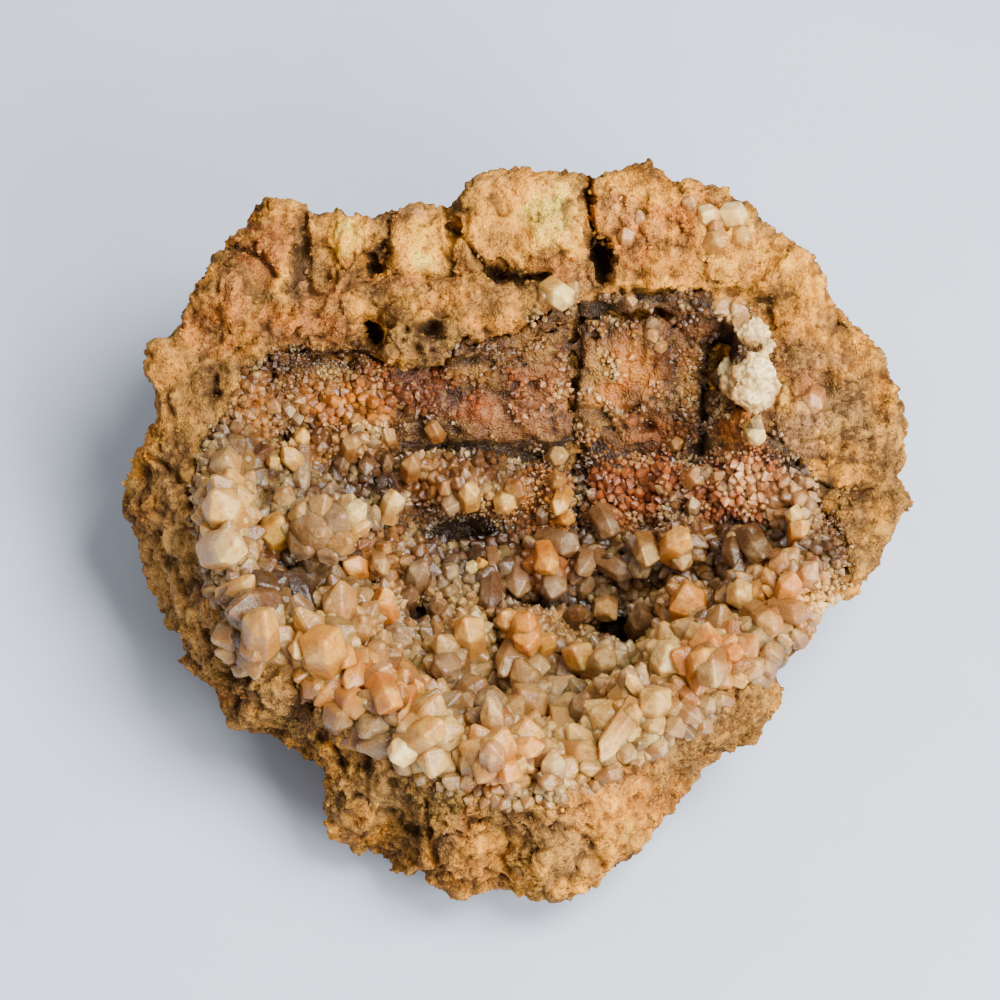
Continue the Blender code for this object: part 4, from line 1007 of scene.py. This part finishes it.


# %% [markdown]
# ## The photograph's own crystals
# The points that give this stone its face are set one by one. Each row of the list is a pixel, a width and a
# length in millimetres, the way the tip points in the picture, clockwise from up, how far it leans from the
# line of sight, and its tint. A ray finds the bed, and the ray's start moves back along the axis so that the
# crystal's middle is seen at the pixel. A row's number seeds its crystal's look, so the order matters.

# %% Main crystals
# The dark tint is painted shade, on a point under the overhanging rim and on one deep in a gap.
MAIN = [
    (222, 505, 8.4, 10, 340, 25, "cream"), (231, 548, 7.6, 9, 80, 25, "white"),
    (247, 584, 4.6, 6, 60, 60, "cream"), (217, 580, 4.6, 6, 0, 20, "pink"),
    (276, 527, 7.4, 8, 20, 18, "yellow"), (285, 498, 5.0, 6, 10, 30, "pink"),
    (320, 528, 10.5, 9, 70, 14, "grey"), (338, 520, 7.6, 9, 55, 36, "grey"),
    (342, 540, 7.2, 9, 80, 38, "beige"), (306, 544, 7.4, 8, 160, 22, "grey"),
    (303, 513, 6.4, 7, 330, 22, "beige"), (353, 514, 4.8, 9, 58, 50, "white"),
    (356, 528, 4.4, 8, 74, 50, "cream"), (330, 552, 6.2, 7, 140, 32, "grey"),
    (321, 507, 5.4, 8, 12, 34, "beige"), (347, 505, 4.0, 7, 45, 46, "beige"),
    (292, 528, 6.0, 6, 270, 18, "beige"), (262, 622, 7.4, 9, 5, 34, "cream"),
    (300, 606, 6.6, 7, 0, 38, "grey"), (340, 602, 7.6, 10, 0, 58, "beige"),
    (323, 643, 9.2, 9, 350, 20, "yellow"), (361, 624, 5.4, 7, 30, 40, "beige"),
    (384, 598, 4.6, 7, 350, 45, "orange"), (409, 595, 4.4, 6, 20, 30, "brown"),
    (398, 635, 5.9, 7, 0, 25, "grey"), (378, 652, 5.6, 7, 40, 35, "beige"),
    (380, 673, 4.2, 7, 50, 62, "pink"), (352, 682, 5.0, 6, 200, 45, "orange"),
    (282, 634, 4.7, 6, 330, 35, "beige"), (389, 702, 6.1, 7, 150, 30, "orange"),
    (417, 687, 3.2, 5, 0, 55, "orange"), (432, 690, 3.4, 5.5, 10, 55, "pink"),
    (430, 730, 6.4, 8, 60, 45, "yellow"), (400, 752, 5.6, 7, 240, 45, "white"),
    (469, 628, 6.6, 8, 0, 30, "cream"), (444, 644, 5.6, 7, 320, 25, "beige"),
    (446, 670, 6.1, 7, 180, 20, "grey"), (423, 627, 3.6, 5, 0, 30, "grey"),
    (525, 622, 5.2, 7, 20, 35, "orange"), (507, 618, 4.7, 6, 320, 30, "orange"),
    (528, 642, 6.1, 7, 180, 25, "orange"), (548, 641, 4.4, 6, 30, 35, "yellow"),
    (538, 670, 5.2, 6, 160, 40, "beige"), (579, 655, 6.9, 8, 340, 20, "cream"),
    (605, 658, 5.6, 8, 30, 32, "beige"), (509, 672, 2.7, 7, 5, 66, "white"),
    (496, 680, 3.6, 6, 340, 50, "grey"), (528, 698, 8.1, 8, 330, 25, "beige"),
    (553, 706, 4.9, 6, 60, 35, "grey"), (492, 713, 4.8, 8, 350, 58, "beige"),
    (466, 702, 5.5, 6, 0, 30, "grey"), (492, 751, 5.4, 7, 355, 30, "pink"),
    (530, 747, 4.8, 7, 80, 58, "orange"), (469, 763, 4.0, 6, 350, 45, "beige"),
    (507, 774, 5.1, 6, 180, 25, "orange"), (520, 763, 3.2, 5, 20, 40, "yellow"),
    (472, 786, 3.6, 5, 330, 40, "pink"), (530, 792, 4.2, 5, 0, 40, "grey"),
    (570, 747, 7.6, 12, 175, 48, "white"), (550, 774, 5.1, 6, 190, 40, "brown"),
    (612, 738, 4.8, 11, 215, 62, "cream"), (585, 705, 5.6, 7, 20, 40, "grey"),
    (601, 704, 4.2, 6, 30, 45, "grey"), (633, 711, 3.9, 5, 0, 30, "cream"),
    (617, 690, 4.5, 6, 340, 40, "beige"), (655, 698, 7.1, 8, 20, 25, "cream"),
    (634, 684, 2.9, 6, 325, 62, "cream"), (675, 707, 4.0, 5, 60, 40, "beige"),
    (692, 700, 4.2, 5, 120, 40, "pink"), (644, 618, 6.7, 8, 10, 20, "brown"),
    (657, 597, 3.4, 5, 20, 30, "beige"), (686, 600, 8.1, 9, 340, 25, "orange"),
    (739, 594, 6.4, 8, 290, 30, "cream"), (718, 584, 3.8, 5, 0, 30, "grey"),
    (732, 617, 4.6, 6, 40, 35, "beige"), (668, 656, 8.0, 10, 355, 35, "white"),
    (698, 632, 5.1, 6, 10, 35, "white"), (718, 636, 4.4, 5, 50, 35, "cream"),
    (704, 658, 6.4, 7, 30, 20, "orange"), (712, 676, 7.1, 7, 170, 35, "beige"),
    (735, 652, 4.0, 5, 80, 40, "orange"), (739, 680, 3.2, 5, 100, 40, "cream"),
    (761, 588, 4.9, 6, 0, 40, "orange"), (768, 618, 4.7, 6, 120, 45, "beige"),
    (799, 612, 5.1, 6, 100, 45, "beige"), (788, 583, 5.1, 7, 10, 45, "orange"),
    (809, 572, 4.5, 6, 45, 40, "pink"), (609, 529, 4.9, 6, 150, 35, "grey"),
    (648, 557, 5.5, 7, 160, 25, "beige"), (622, 570, 4.8, 7, 120, 50, "grey"),
    (680, 540, 6.1, 7, 30, 25, "orange"), (682, 562, 4.7, 6, 170, 40, "beige"),
    (734, 557, 5.1, 6, 190, 40, "brown"), (759, 552, 5.9, 7, 150, 30, "brown"),
    (732, 538, 3.0, 4, 20, 30, "pink"), (711, 558, 3.8, 5, 0, 30, "dark"),
    (800, 527, 4.5, 5, 10, 30, "orange"), (794, 514, 3.8, 5, 340, 30, "cream"),
    (757, 438, 4.2, 3, 160, 25, "white"), (757, 422, 3.2, 4, 20, 30, "grey"),
    (700, 475, 4.2, 2.6, 70, 30, "pink"), (708, 470, 3.0, 2.2, 40, 30, "grey"),
    (721, 474, 3.0, 2, 40, 30, "pink"), (680, 443, 3.6, 2, 45, 25, "honey"),
    (693, 504, 2.8, 4, 0, 40, "grey"), (469, 490, 4.7, 5, 0, 25, "cream"),
    (450, 507, 3.9, 5, 200, 30, "grey"), (446, 487, 3.9, 4, 340, 30, "pink"),
    (505, 505, 4.9, 5, 180, 20, "cream"), (516, 487, 4.7, 5, 30, 30, "honey"),
    (412, 461, 4.1, 4, 10, 30, "honey"), (432, 427, 3.7, 2.5, 330, 25, "honey"),
    (559, 507, 3.9, 5, 200, 30, "yellow"), (568, 518, 3.5, 4, 90, 30, "orange"),
    (542, 513, 2.7, 4, 0, 30, "grey"), (560, 455, 4.2, 2.4, 60, 25, "beige"),
    (559, 478, 3.9, 3, 30, 25, "honey"), (568, 544, 5.5, 7, 100, 45, "grey"),
    (547, 566, 5.1, 6, 170, 30, "orange"), (584, 568, 4.6, 6, 200, 35, "grey"),
    (553, 592, 5.4, 6, 180, 40, "grey"), (518, 588, 5.5, 6, 190, 45, "grey"),
    (490, 601, 4.7, 6, 180, 50, "brown"), (437, 606, 3.7, 5, 0, 30, "grey"),
    (576, 612, 4.2, 5, 30, 30, "brown"), (605, 611, 5.5, 6, 180, 15, "beige"),
    (420, 569, 5.1, 6, 20, 40, "grey"), (450, 570, 3.9, 5, 340, 30, "grey"),
    (472, 567, 3.0, 4, 10, 30, "white"), (495, 568, 3.6, 5, 170, 40, "grey"),
    (481, 563, 3.0, 4, 0, 30, "yellow"), (381, 568, 4.4, 5, 160, 30, "beige"),
    (352, 565, 4.9, 6, 300, 45, "orange"), (384, 547, 3.6, 4, 20, 30, "honey"),
    (374, 512, 3.6, 5, 0, 50, "brown"), (394, 499, 4.5, 6, 20, 35, "white"),
    (387, 460, 3.4, 4, 0, 30, "brown"), (366, 469, 3.4, 4, 180, 45, "brown"),
    (343, 461, 3.6, 4, 20, 30, "brown"), (302, 478, 3.8, 7, 180, 58, "grey"),
    (288, 455, 4.3, 5, 315, 45, "cream"), (273, 461, 3.0, 4, 0, 30, "cream"),
    (352, 441, 4.0, 4, 20, 30, "honey"), (372, 440, 3.0, 4, 0, 30, "brown"),
    (387, 435, 3.6, 4, 340, 30, "honey"), (303, 435, 3.6, 4, 20, 30, "yellow"),
    (276, 409, 3.4, 3, 135, 40, "beige"), (290, 413, 3.0, 3, 150, 40, "grey"),
    (299, 421, 2.6, 3, 150, 40, "grey"), (226, 462, 7.2, 8, 0, 25, "beige"),
    (250, 478, 4.0, 5, 40, 40, "beige"), (208, 530, 4.0, 5, 300, 40, "cream"),
    (612, 306, 4.8, 5, 0, 30, "dark"), (632, 303, 2.8, 2, 150, 30, "beige"),
    (650, 308, 3.4, 2.2, 0, 25, "cream"), (655, 335, 3.2, 2, 90, 25, "pink"),
    (662, 347, 3.0, 2, 120, 25, "honey"), (652, 321, 2.6, 2, 20, 25, "grey"),
    (310, 660, 4.2, 6, 320, 45, "orange"), (300, 650, 4.4, 6, 200, 40, "cream"),
    (345, 660, 5.0, 6, 160, 40, "orange"), (400, 715, 4.4, 6, 200, 45, "orange"),
    (375, 700, 4.6, 6, 210, 50, "cream"), (415, 705, 4.0, 6, 180, 45, "pink"),
]
ROOT = 3.0             # millimetres of each crystal that are sunk in the bed

bed_tree = tree_of(bed.data)


def leaning(heading, lean):
    """The axis of a crystal whose tip points this way in the picture."""
    turn, off = math.radians(heading), math.radians(lean)
    across = RIGHT * math.sin(turn) + UP * math.cos(turn)
    return TO_VIEWER * math.cos(off) + across * math.sin(off)


def set_crystal(crystals, number, row, tree):
    """Grows one crystal where its ray meets the tree. Gives its middle and width."""
    px, py, width, length, heading, lean, tint = row
    pick = random.Random(number)
    axis = leaning(heading, lean)
    back = axis * (0.5 * length * MM)
    start = EYE - RIGHT * back.dot(RIGHT) - UP * back.dot(UP)
    hit = tree.ray_cast(start, sight_ray(px, py))[0]
    if hit is None:
        return None
    roof = min(0.52 * width, 0.6 * length)
    crystals.add(hit - axis * ROOT * MM, axis, width * MM, (length - roof + ROOT) * MM, roof * MM,
                 varied(STAINS["q_" + tint], pick, 0.06), pick.uniform(0, FULL_TURN), number)
    return hit + axis * (0.4 * length * MM), width * MM


main = Crystals(MAIN_SHAPES)
taken = [set_crystal(main, number, row, bed_tree) for number, row in enumerate(MAIN)]
print("crystals that met no bed:", [row[:2] for row, found in zip(MAIN, taken) if found is None])
taken = [found for found in taken if found]

# %% [markdown]
# ## The crystals between
# The rest of the crust is packed with smaller points, coarse in the front and as fine as sugar on the back
# wall. Places are drawn by chance over the bed and the stone's lip. The largest go first, and one is kept
# only if it has room. Each stands on the ground's own slope and leans a little. Those in gaps are small.
# Painted shade darkens them, and every point smaller than the size wanted there. A fixed seed gives the same
# crust on every run.

# %% Crystals between
SIZES = [
    (470, 710, 330, 100, 6.2), (290, 620, 110, 90, 6.2), (720, 640, 100, 70, 6.0),
    (560, 570, 200, 46, 4.6), (745, 485, 50, 36, 2.3), (790, 510, 34, 50, 3.6), (420, 560, 120, 40, 3.4),
    (740, 560, 110, 50, 4.6), (330, 500, 100, 50, 3.2), (240, 500, 50, 90, 5.4), (640, 490, 100, 36, 2.2),
    (440, 480, 110, 32, 3.0), (350, 440, 90, 20, 2.8), (345, 402, 76, 34, 2.5), (260, 400, 30, 50, 2.2),
]
FINEST = 0.85          # millimetres across, as are the sizes of these spots
FRONT_SIZE = 2.6
INFILL_SIZE = 2.5      # wider crystals have worn edges and let light through
ROOM_SHARE = 0.27      # of its width that a crystal needs free round it
TAKEN_SHARE = 0.40     # of its width that a placed crystal takes up
ROOT_SHARE = 0.6       # of its width that a scattered crystal is sunk


def wanted_size(px, py):
    """How wide crystals are at each pixel, by the largest spot there."""
    best = np.full_like(px, FINEST)
    for x, y, wide, high, size in SIZES:
        best = np.maximum(best, FINEST + (size - FINEST) * spot_share(px, py, (x, y, wide, high)))
    return np.maximum(best, FRONT_SIZE * smooth(560, 620, py))


def scattered(mesh, count, seed):
    """Places drawn evenly over a mesh's faces, with each face's normal."""
    mesh.calc_loop_triangles()
    corners = np.empty(len(mesh.loop_triangles) * 3, int)
    mesh.loop_triangles.foreach_get("vertices", corners)
    places, _ = points_of(mesh)
    a, b, c = (places[corners.reshape(-1, 3)[:, i]] for i in range(3))
    cross = np.cross(b - a, c - a)
    area = np.linalg.norm(cross, axis=1)
    draw = np.random.default_rng(seed)
    chosen = draw.choice(len(area), count, p=area / area.sum())
    u, v = draw.random(count), draw.random(count)
    flip = u + v > 1
    u[flip], v[flip] = 1 - u[flip], 1 - v[flip]
    places = a[chosen] + u[:, None] * (b - a)[chosen] + v[:, None] * (c - a)[chosen]
    return places, cross[chosen] / area[chosen][:, None]


class Room:
    """Says whether a place has room among those taken already."""

    def __init__(self, cell):
        self.cell, self.taken = cell, {}

    def key(self, place):
        return tuple(int(math.floor(c / self.cell)) for c in place)

    def free(self, place, reach):
        x, y, z = self.key(place)
        span = (-1, 0, 1)
        near = (self.taken.get((x + i, y + j, z + k), ()) for i in span for j in span for k in span)
        return all((other - place).length >= reach + width for cell in near for other, width in cell)

    def take(self, place, reach):
        self.taken.setdefault(self.key(place), []).append((place, reach))


smoothed = bed.copy()
smoothed.data = bed.data.copy()
soften(smoothed, 5)
bed_spots, bed_slopes = scattered(smoothed.data, 70000, 11)
rock_spots, rock_slopes = scattered(stone.data, 60000, 12)
bpy.data.objects.remove(smoothed)
on_lip = np.array([crust_tree.find_nearest(Vector(spot))[3] < 1.8 * MM for spot in rock_spots])
on_lip &= (rock_slopes @ VIEWER > 0.15) & (rock_spots[:, 2] > 6 * MM)
spots = np.vstack([bed_spots, rock_spots[on_lip]])
slopes = np.vstack([bed_slopes, rock_slopes[on_lip]])
seen = slopes @ VIEWER > -0.1
spots, slopes = spots[seen], slopes[seen]
px, py = pixels_of(spots)
draw = np.random.default_rng(5)
wanted = wanted_size(px, py)
rocky = (1 - smooth(430, 465, py)) * smooth(370, 420, px)
size = wanted * (draw.uniform(0.56, 1.14, len(px)) + rocky * draw.uniform(-0.1, 0.9, len(px)))
# Points smaller than the size wanted there are darkened, to 0.58: painted shade among the larger ones.
depth = 0.58 + 0.42 * smooth(0.60, 0.95, size / wanted)
gap = smooth(0.8, 2.8, -lifted(px, py, CLUSTERS, []))
size *= 1 - 0.35 * gap
smoky = 1 - 0.36 * (draw.random(len(px)) < 0.22)
# Some points are smoky at random; those in gaps are darkened as painted shade.
stains = crust_colours(spots) * (smoky * (1 - 0.82 * gap))[:, None]
crack_gap = near_line(px, py, LONG_CRACK)
room = Room(5.0 * MM)
for middle, width in taken:
    room.take(middle, TAKEN_SHARE * width)
infill, sugar = Crystals(WORN_SHAPES), Crystals(SMALL_SHAPES)
for i in np.argsort(-size):
    place, slope, width = Vector(spots[i]), Vector(slopes[i]), size[i] * MM
    if crack_gap[i] < 3.0 or not room.free(place, ROOM_SHARE * width):
        continue
    if (rocky[i] > 0.3 and noise.noise(place / (5 * MM)) < 0.16) or gap[i] > 0.85:
        continue
    if crust_tree.ray_cast(place + slope * 0.9 * MM, slope, 30 * MM)[0] and slope.dot(TO_VIEWER) < 0.2:
        continue
    room.take(place, ROOM_SHARE * width)
    pick = random.Random(int(i))
    lean = Vector((pick.gauss(0, 1), pick.gauss(0, 1), pick.gauss(0, 1))) * 0.14
    axis = (slope + lean + TO_VIEWER * 0.25).normalized()
    column = width * pick.uniform(0.02, 0.40)
    roof = width * pick.uniform(0.38, 0.62)
    gathers = infill if size[i] > INFILL_SIZE else sugar
    gathers.add(place - axis * ROOT_SHARE * width, axis, width, column + ROOT_SHARE * width, roof,
                varied(stains[i] * depth[i], pick, 0.12), pick.uniform(0, FULL_TURN), int(i))

# %% [markdown]
# ## Quartz on the rim
# A few pale points also sit on the rock itself, in nests on the right block and where the long crack meets
# the ledge. They are set on the stone by their pixels, like the others.

# %% Quartz on the rim
RIM_QUARTZ = [
    (565, 299, 6.0, 4, 120, 40, "white"), (550, 292, 4.0, 3, 40, 40, "pink"),
    (574, 286, 3.0, 3, 20, 40, "beige"), (735, 212, 6.4, 4, 30, 30, "white"),
    (705, 213, 4.4, 3, 300, 30, "white"), (722, 236, 4.8, 3, 60, 40, "cream"),
    (745, 236, 4.2, 3, 90, 40, "cream"), (690, 200, 3.2, 3, 0, 40, "pink"),
    (716, 224, 3.4, 3, 0, 40, "pink"), (812, 405, 4.6, 2, 200, 30, "pink"),
    (626, 232, 3.4, 2, 0, 40, "pink"), (640, 214, 3.0, 2, 0, 40, "pink"),
]

for number, row in enumerate(RIM_QUARTZ, start=500):
    set_crystal(main, number, row, stone_tree)
points = main.finish("quartz_points")
infill_piece = infill.finish("quartz_infill")
sugar_piece = sugar.finish("quartz_sugar")

# %% [markdown]
# ## Crumbs on the rock
# The rock is crusted with grains too small for its mesh. Each is a worn lump of twenty faces, half sunk in
# the rock, and takes the rock's stain at its place, a shade lighter or darker. They gather in drifts and
# leave the slabs nearly bare.

# %% Crumbs
CRUMB_WIDTHS = (0.5, 0.6, 0.8, 1.0, 1.4)
MOST_CRUMBS = 9500


def crumb_shape(seed):
    pick = random.Random(seed)
    bm = bmesh.new()
    bmesh.ops.create_icosphere(bm, subdivisions=1, radius=0.5)
    for vert in bm.verts:
        vert.co *= pick.uniform(0.60, 1.30)
    bmesh.ops.scale(bm, vec=(1.0, pick.uniform(0.6, 0.95), pick.uniform(0.5, 0.9)), verts=bm.verts)
    mesh = bpy.data.meshes.new(f"crumb_{seed}")
    bm.to_mesh(mesh)
    bm.free()
    return mesh


crumb_shapes = [crumb_shape(seed) for seed in range(12)]
spots, slopes = scattered(stone.data, 26000, 21)
px, py = pixels_of(spots)
spot_facing = smooth(0.0, 0.3, slopes @ VIEWER)
stains = rock_colours(spots, spot_facing)
calm_there = strongest(px, py, CALM) * spot_facing
drift = noise_at(spots, 4 * MM)
draw = np.random.default_rng(8)
kept = (spots[:, 2] > 2 * MM) & (draw.random(len(spots)) < 0.24 + 1.4 * drift - 0.8 * calm_there)
kept &= np.array([crust_tree.ray_cast(Vector(s) + Vector(n) * 0.2 * MM, Vector(n), 5 * MM)[0] is None
                  for s, n in zip(spots, slopes)])
bm = bmesh.new()
colours, counts = [], []
for i in np.flatnonzero(kept)[:MOST_CRUMBS]:
    pick = random.Random(int(i))
    shape = crumb_shapes[i % len(crumb_shapes)]
    width = pick.choice(CRUMB_WIDTHS) * pick.uniform(0.85, 1.15) * MM
    turn = Matrix.Rotation(pick.uniform(0, FULL_TURN), 4, "X")
    turn = turn @ Matrix.Rotation(pick.uniform(0, FULL_TURN), 4, "Z")
    place = Vector(spots[i]) + Vector(slopes[i]) * 0.02 * width
    matrix = Matrix.Translation(place) @ turn @ Matrix.Scale(width, 4)
    shape.transform(matrix)
    bm.from_mesh(shape)
    shape.transform(matrix.inverted())
    colours.append(varied(stains[i], pick, 0.35))
    counts.append(len(shape.vertices))
crumb_mesh = bpy.data.meshes.new("rock_crumbs")
bm.to_mesh(crumb_mesh)
bm.free()
mark_colour(crumb_mesh, "stain", np.repeat(np.array(colours), counts, axis=0))
crumb_mesh.materials.append(ROCK)
crumbs_piece = new_piece("rock_crumbs", crumb_mesh)
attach(crumbs_piece, "root")
print("crumbs:", len(counts), "with", len(crumb_mesh.polygons), "faces")

# %% [markdown]
# ## The quartz's material
# Milky quartz is dense with tiny flaws, so light sinks in, scatters and comes out a little way off:
# subsurface scattering over about two millimetres, under a glossy skin. The larger points also let a third
# of the light straight through. Iron stains the roots, and their darkening is also painted shade where the
# points crowd each other. Faces seen edge-on are darkened as painted shade. Golden and frosty clouds drift
# through the rest. A fine noise in the gloss gives the faces their etched, waxy look.

# %% Quartz materials
def make_bed():
    made, tree, shader, place = new_material("quartz_ground")
    sand, clouds = grain(tree, place, 0.6), grain(tree, place, 2.4)
    ground = attribute(tree, "stain", "Color")
    darker = mixed(tree, 1.0, ground, (0.34, 0.22, 0.13, 1.0), "MULTIPLY")
    lighter = mixed(tree, 0.30, ground, stain("q_cream"))
    ground = layered(tree, ground, [
        (ranged(tree, clouds["Mottle"], 0.56, 0.36, 0.0, 0.8), darker),
        (ranged(tree, clouds["Fine"], 0.52, 0.66, 0.0, 0.6), lighter),
        (ranged(tree, sand["Fine"], 0.46, 0.34, 0.0, 0.7), darker),
        (ranged(tree, clouds["Chip"], 0.42, 0.28, 0.0, 0.55), darker),
        # Painted shade in the bed's low places.
        (scaled(tree, attribute(tree, "low"), 0.9), stain("dark")),
    ])
    tree.links.new(ground, shader.inputs["Base Color"])
    shader.inputs["Specular IOR Level"].default_value = 0.25
    tree.links.new(ranged(tree, sand["Fine"], 0.3, 0.7, 0.25, 0.75), shader.inputs["Roughness"])
    relief = sums(tree, "ADD", scaled(tree, sand["Grain"], 0.5), clouds["Fine"])
    bumpy(tree, shader, relief, 0.9, 0.5 * MM)
    return made


def make_quartz(name, scatter, dull, clear_share):
    """Quartz with its share of scattered light, its dullness and its share of see-through light."""
    made, tree, shader, place = new_material(name)
    flaws, clouds = grain(tree, place, 1.0), grain(tree, place, 2.6)
    ground = attribute(tree, "stain", "Color")
    root = mixed(tree, 1.0, ground, (0.62, 0.42, 0.24, 1.0), "MULTIPLY")
    golden = mixed(tree, 1.0, ground, (0.86, 0.62, 0.34, 1.0), "MULTIPLY")
    frosty = mixed(tree, 0.40, ground, stain("q_white"))
    edge = add(tree, "ShaderNodeLayerWeight", Blend=0.35).outputs["Facing"]
    ground = layered(tree, ground, [
        (ranged(tree, clouds["Mottle"], 0.54, 0.38, 0.0, 0.8), golden),
        (ranged(tree, clouds["Mottle"], 0.52, 0.68, 0.0, 0.8), frosty),
        (ranged(tree, flaws["Mottle"], 0.52, 0.66, 0.0, 0.6), frosty),
        # Roots darkened by iron stain and by painted shade; faces seen edge-on darkened as painted shade.
        (ranged(tree, attribute(tree, "along"), 0.74, 0.30, 0.0, 0.90), root),
        (ranged(tree, clouds["Fine"], 0.50, 0.36, 0.0, 0.60), root),
        (ranged(tree, edge, 0.40, 0.9, 0.0, 0.5), root),
    ])
    tree.links.new(ground, shader.inputs["Base Color"])
    gloss = ranged(tree, flaws["Fine"], 0.3, 0.7, 0.18 + dull, 0.48 + dull)
    tree.links.new(gloss, shader.inputs["Roughness"])
    relief = sums(tree, "ADD", scaled(tree, flaws["Fine"], 0.6), clouds["Fine"])
    relief = sums(tree, "ADD", relief, scaled(tree, clouds["Grain"], 0.5))
    bumpy(tree, shader, relief, 0.6, 0.40 * MM)
    shader.inputs["IOR"].default_value = 1.54
    shader.inputs["Transmission Weight"].default_value = clear_share
    shader.inputs["Subsurface Weight"].default_value = scatter
    shader.inputs["Subsurface Radius"].default_value = (1.0, 0.6, 0.25)
    shader.inputs["Subsurface Scale"].default_value = 2.4 * MM
    return made


bed.data.materials.clear()
bed.data.materials.append(make_bed())
bed.data.shade_smooth()
milky = make_quartz("milky_quartz", 0.65, 0.04, 0.30)
points.data.materials.append(milky)
infill_piece.data.materials.append(milky)
sugar_piece.data.materials.append(make_quartz("sugar_quartz", 0.6, 0.05, 0.0))
for piece in (bed, points, infill_piece, sugar_piece):
    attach(piece, "root")
    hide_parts("crystal_crust")

# %% [markdown]
# ## Chalcedony
# On the right of the mouth, waxy white chalcedony runs down the rock in round lobes. Spheres set along its
# path, each a pixel and a radius in millimetres, and flattened onto the rock are wrapped into one skin by a
# voxel remesh. It is softened and given some of the rock's relief.

# %% Chalcedony
LOBES = [
    (722, 309, 2.0), (731, 306, 2.4), (740, 314, 2.6), (749, 322, 2.6), (756, 331, 2.6), (763, 341, 2.4),
    (768, 349, 1.6), (747, 334, 1.8), (742, 326, 1.8), (726, 378, 2.8), (733, 372, 2.8), (736, 384, 2.8),
    (744, 366, 2.4), (746, 378, 3.2), (747, 391, 2.8), (757, 370, 2.8), (758, 383, 3.2), (757, 396, 2.8),
    (767, 374, 2.4), (768, 388, 2.6), (764, 402, 2.4), (758, 410, 2.0), (754, 360, 1.8), (772, 398, 1.8),
]
FLATNESS = 0.55


def make_chalcedony():
    bm = bmesh.new()
    for lobe_x, lobe_y, radius in LOBES:
        ray = sight_ray(lobe_x, lobe_y)
        hits = [hit for hit in (tree.ray_cast(EYE, ray)[0] for tree in (stone_tree, bed_tree)) if hit]
        nearest = min(hits, key=lambda hit: (hit - EYE).length)
        middle = Matrix.Translation(nearest - TO_VIEWER * 0.1 * radius * MM)
        place = middle @ Matrix.Scale(FLATNESS, 4, TO_VIEWER)
        bmesh.ops.create_icosphere(bm, subdivisions=3, radius=1.15 * radius * MM, matrix=place)
    mesh = bpy.data.meshes.new("chalcedony")
    bm.to_mesh(mesh)
    bm.free()
    piece = new_piece("chalcedony", mesh)
    remesh(piece, 0.35 * MM)
    soften(piece, 5)
    places, normals = points_of(piece.data)
    rough = np.array([rock_height(Vector(p) / MM, 0.0, 0.3) for p in places])
    lobed = np.array([noise.voronoi(Vector(p) / (1.3 * MM))[0][0] ** 2 for p in places])
    move_points(piece.data, places + normals * ((0.5 * rough - 0.5 * lobed) * MM)[:, None])
    made, tree, shader, place = new_material("waxy_chalcedony")
    clouds = grain(tree, place, 1.6)
    colour = mixed(tree, ranged(tree, clouds["Mottle"], 0.42, 0.60), stain("sand"), stain("chalk"))
    colour = mixed(tree, ranged(tree, clouds["Fine"], 0.50, 0.36, 0.0, 0.7), colour, stain("ochre"))
    tree.links.new(colour, shader.inputs["Base Color"])
    bumpy(tree, shader, clouds["Fine"], 0.5, 0.3 * MM)
    shader.inputs["Roughness"].default_value = 0.42
    shader.inputs["Subsurface Weight"].default_value = 0.3
    shader.inputs["Subsurface Radius"].default_value = (1.0, 0.8, 0.5)
    shader.inputs["Subsurface Scale"].default_value = 1.2 * MM
    piece.data.materials.append(made)
    piece.data.shade_smooth()
    return piece


chalcedony = make_chalcedony()
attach(chalcedony, "root")
print("chalcedony:", len(chalcedony.data.polygons), "faces")

# %% [markdown]
# ## Table and light
# The stone lies on a pale, slightly cool table. A broad soft light hangs above it at the right, and another
# stands lower, at the right and in front, so the left outer wall and its shadow stay darker. A pale room
# fills them.

# %% Table and light
def make_table():
    made, tree, shader, place = new_material("pale_table")
    paper = grain(tree, place, 9.0)
    patches = ranged(tree, paper["Mottle"], 0.35, 0.65)
    colour = mixed(tree, patches, (0.47, 0.53, 0.625, 1.0), (0.49, 0.55, 0.645, 1.0))
    tree.links.new(colour, shader.inputs["Base Color"])
    shader.inputs["Roughness"].default_value = 0.6
    bm = bmesh.new()
    bmesh.ops.create_grid(bm, x_segments=2, y_segments=2, size=3.0)
    mesh = bpy.data.meshes.new("table")
    bm.to_mesh(mesh)
    bm.free()
    mesh.materials.append(made)
    return new_piece("table", mesh)


def soft_light(name, place, target, power):
    """A round lamp half a metre across, turned to its target."""
    lamp = bpy.data.lights.new(name, "AREA")
    lamp.shape = "DISK"
    lamp.size = 0.5
    lamp.energy = power
    light = bpy.data.objects.new(name, lamp)
    light.location = place
    light.rotation_euler = (Vector(target) - Vector(place)).to_track_quat("-Z", "Y").to_euler()
    bpy.context.scene.collection.objects.link(light)


make_table()
soft_light("ceiling", (0.38, -0.06, 0.85), (0, -0.03, 0.03), 19.5)
soft_light("window", (0.48, -0.50, 0.46), (0.05, -0.05, 0.02), 13.0)
world = bpy.data.worlds.new("room")
world.use_nodes = True
background = world.node_tree.nodes["Background"]
background.inputs["Color"].default_value = (0.97, 0.97, 1.0, 1.0)
background.inputs["Strength"].default_value = 0.62
bpy.context.scene.world = world
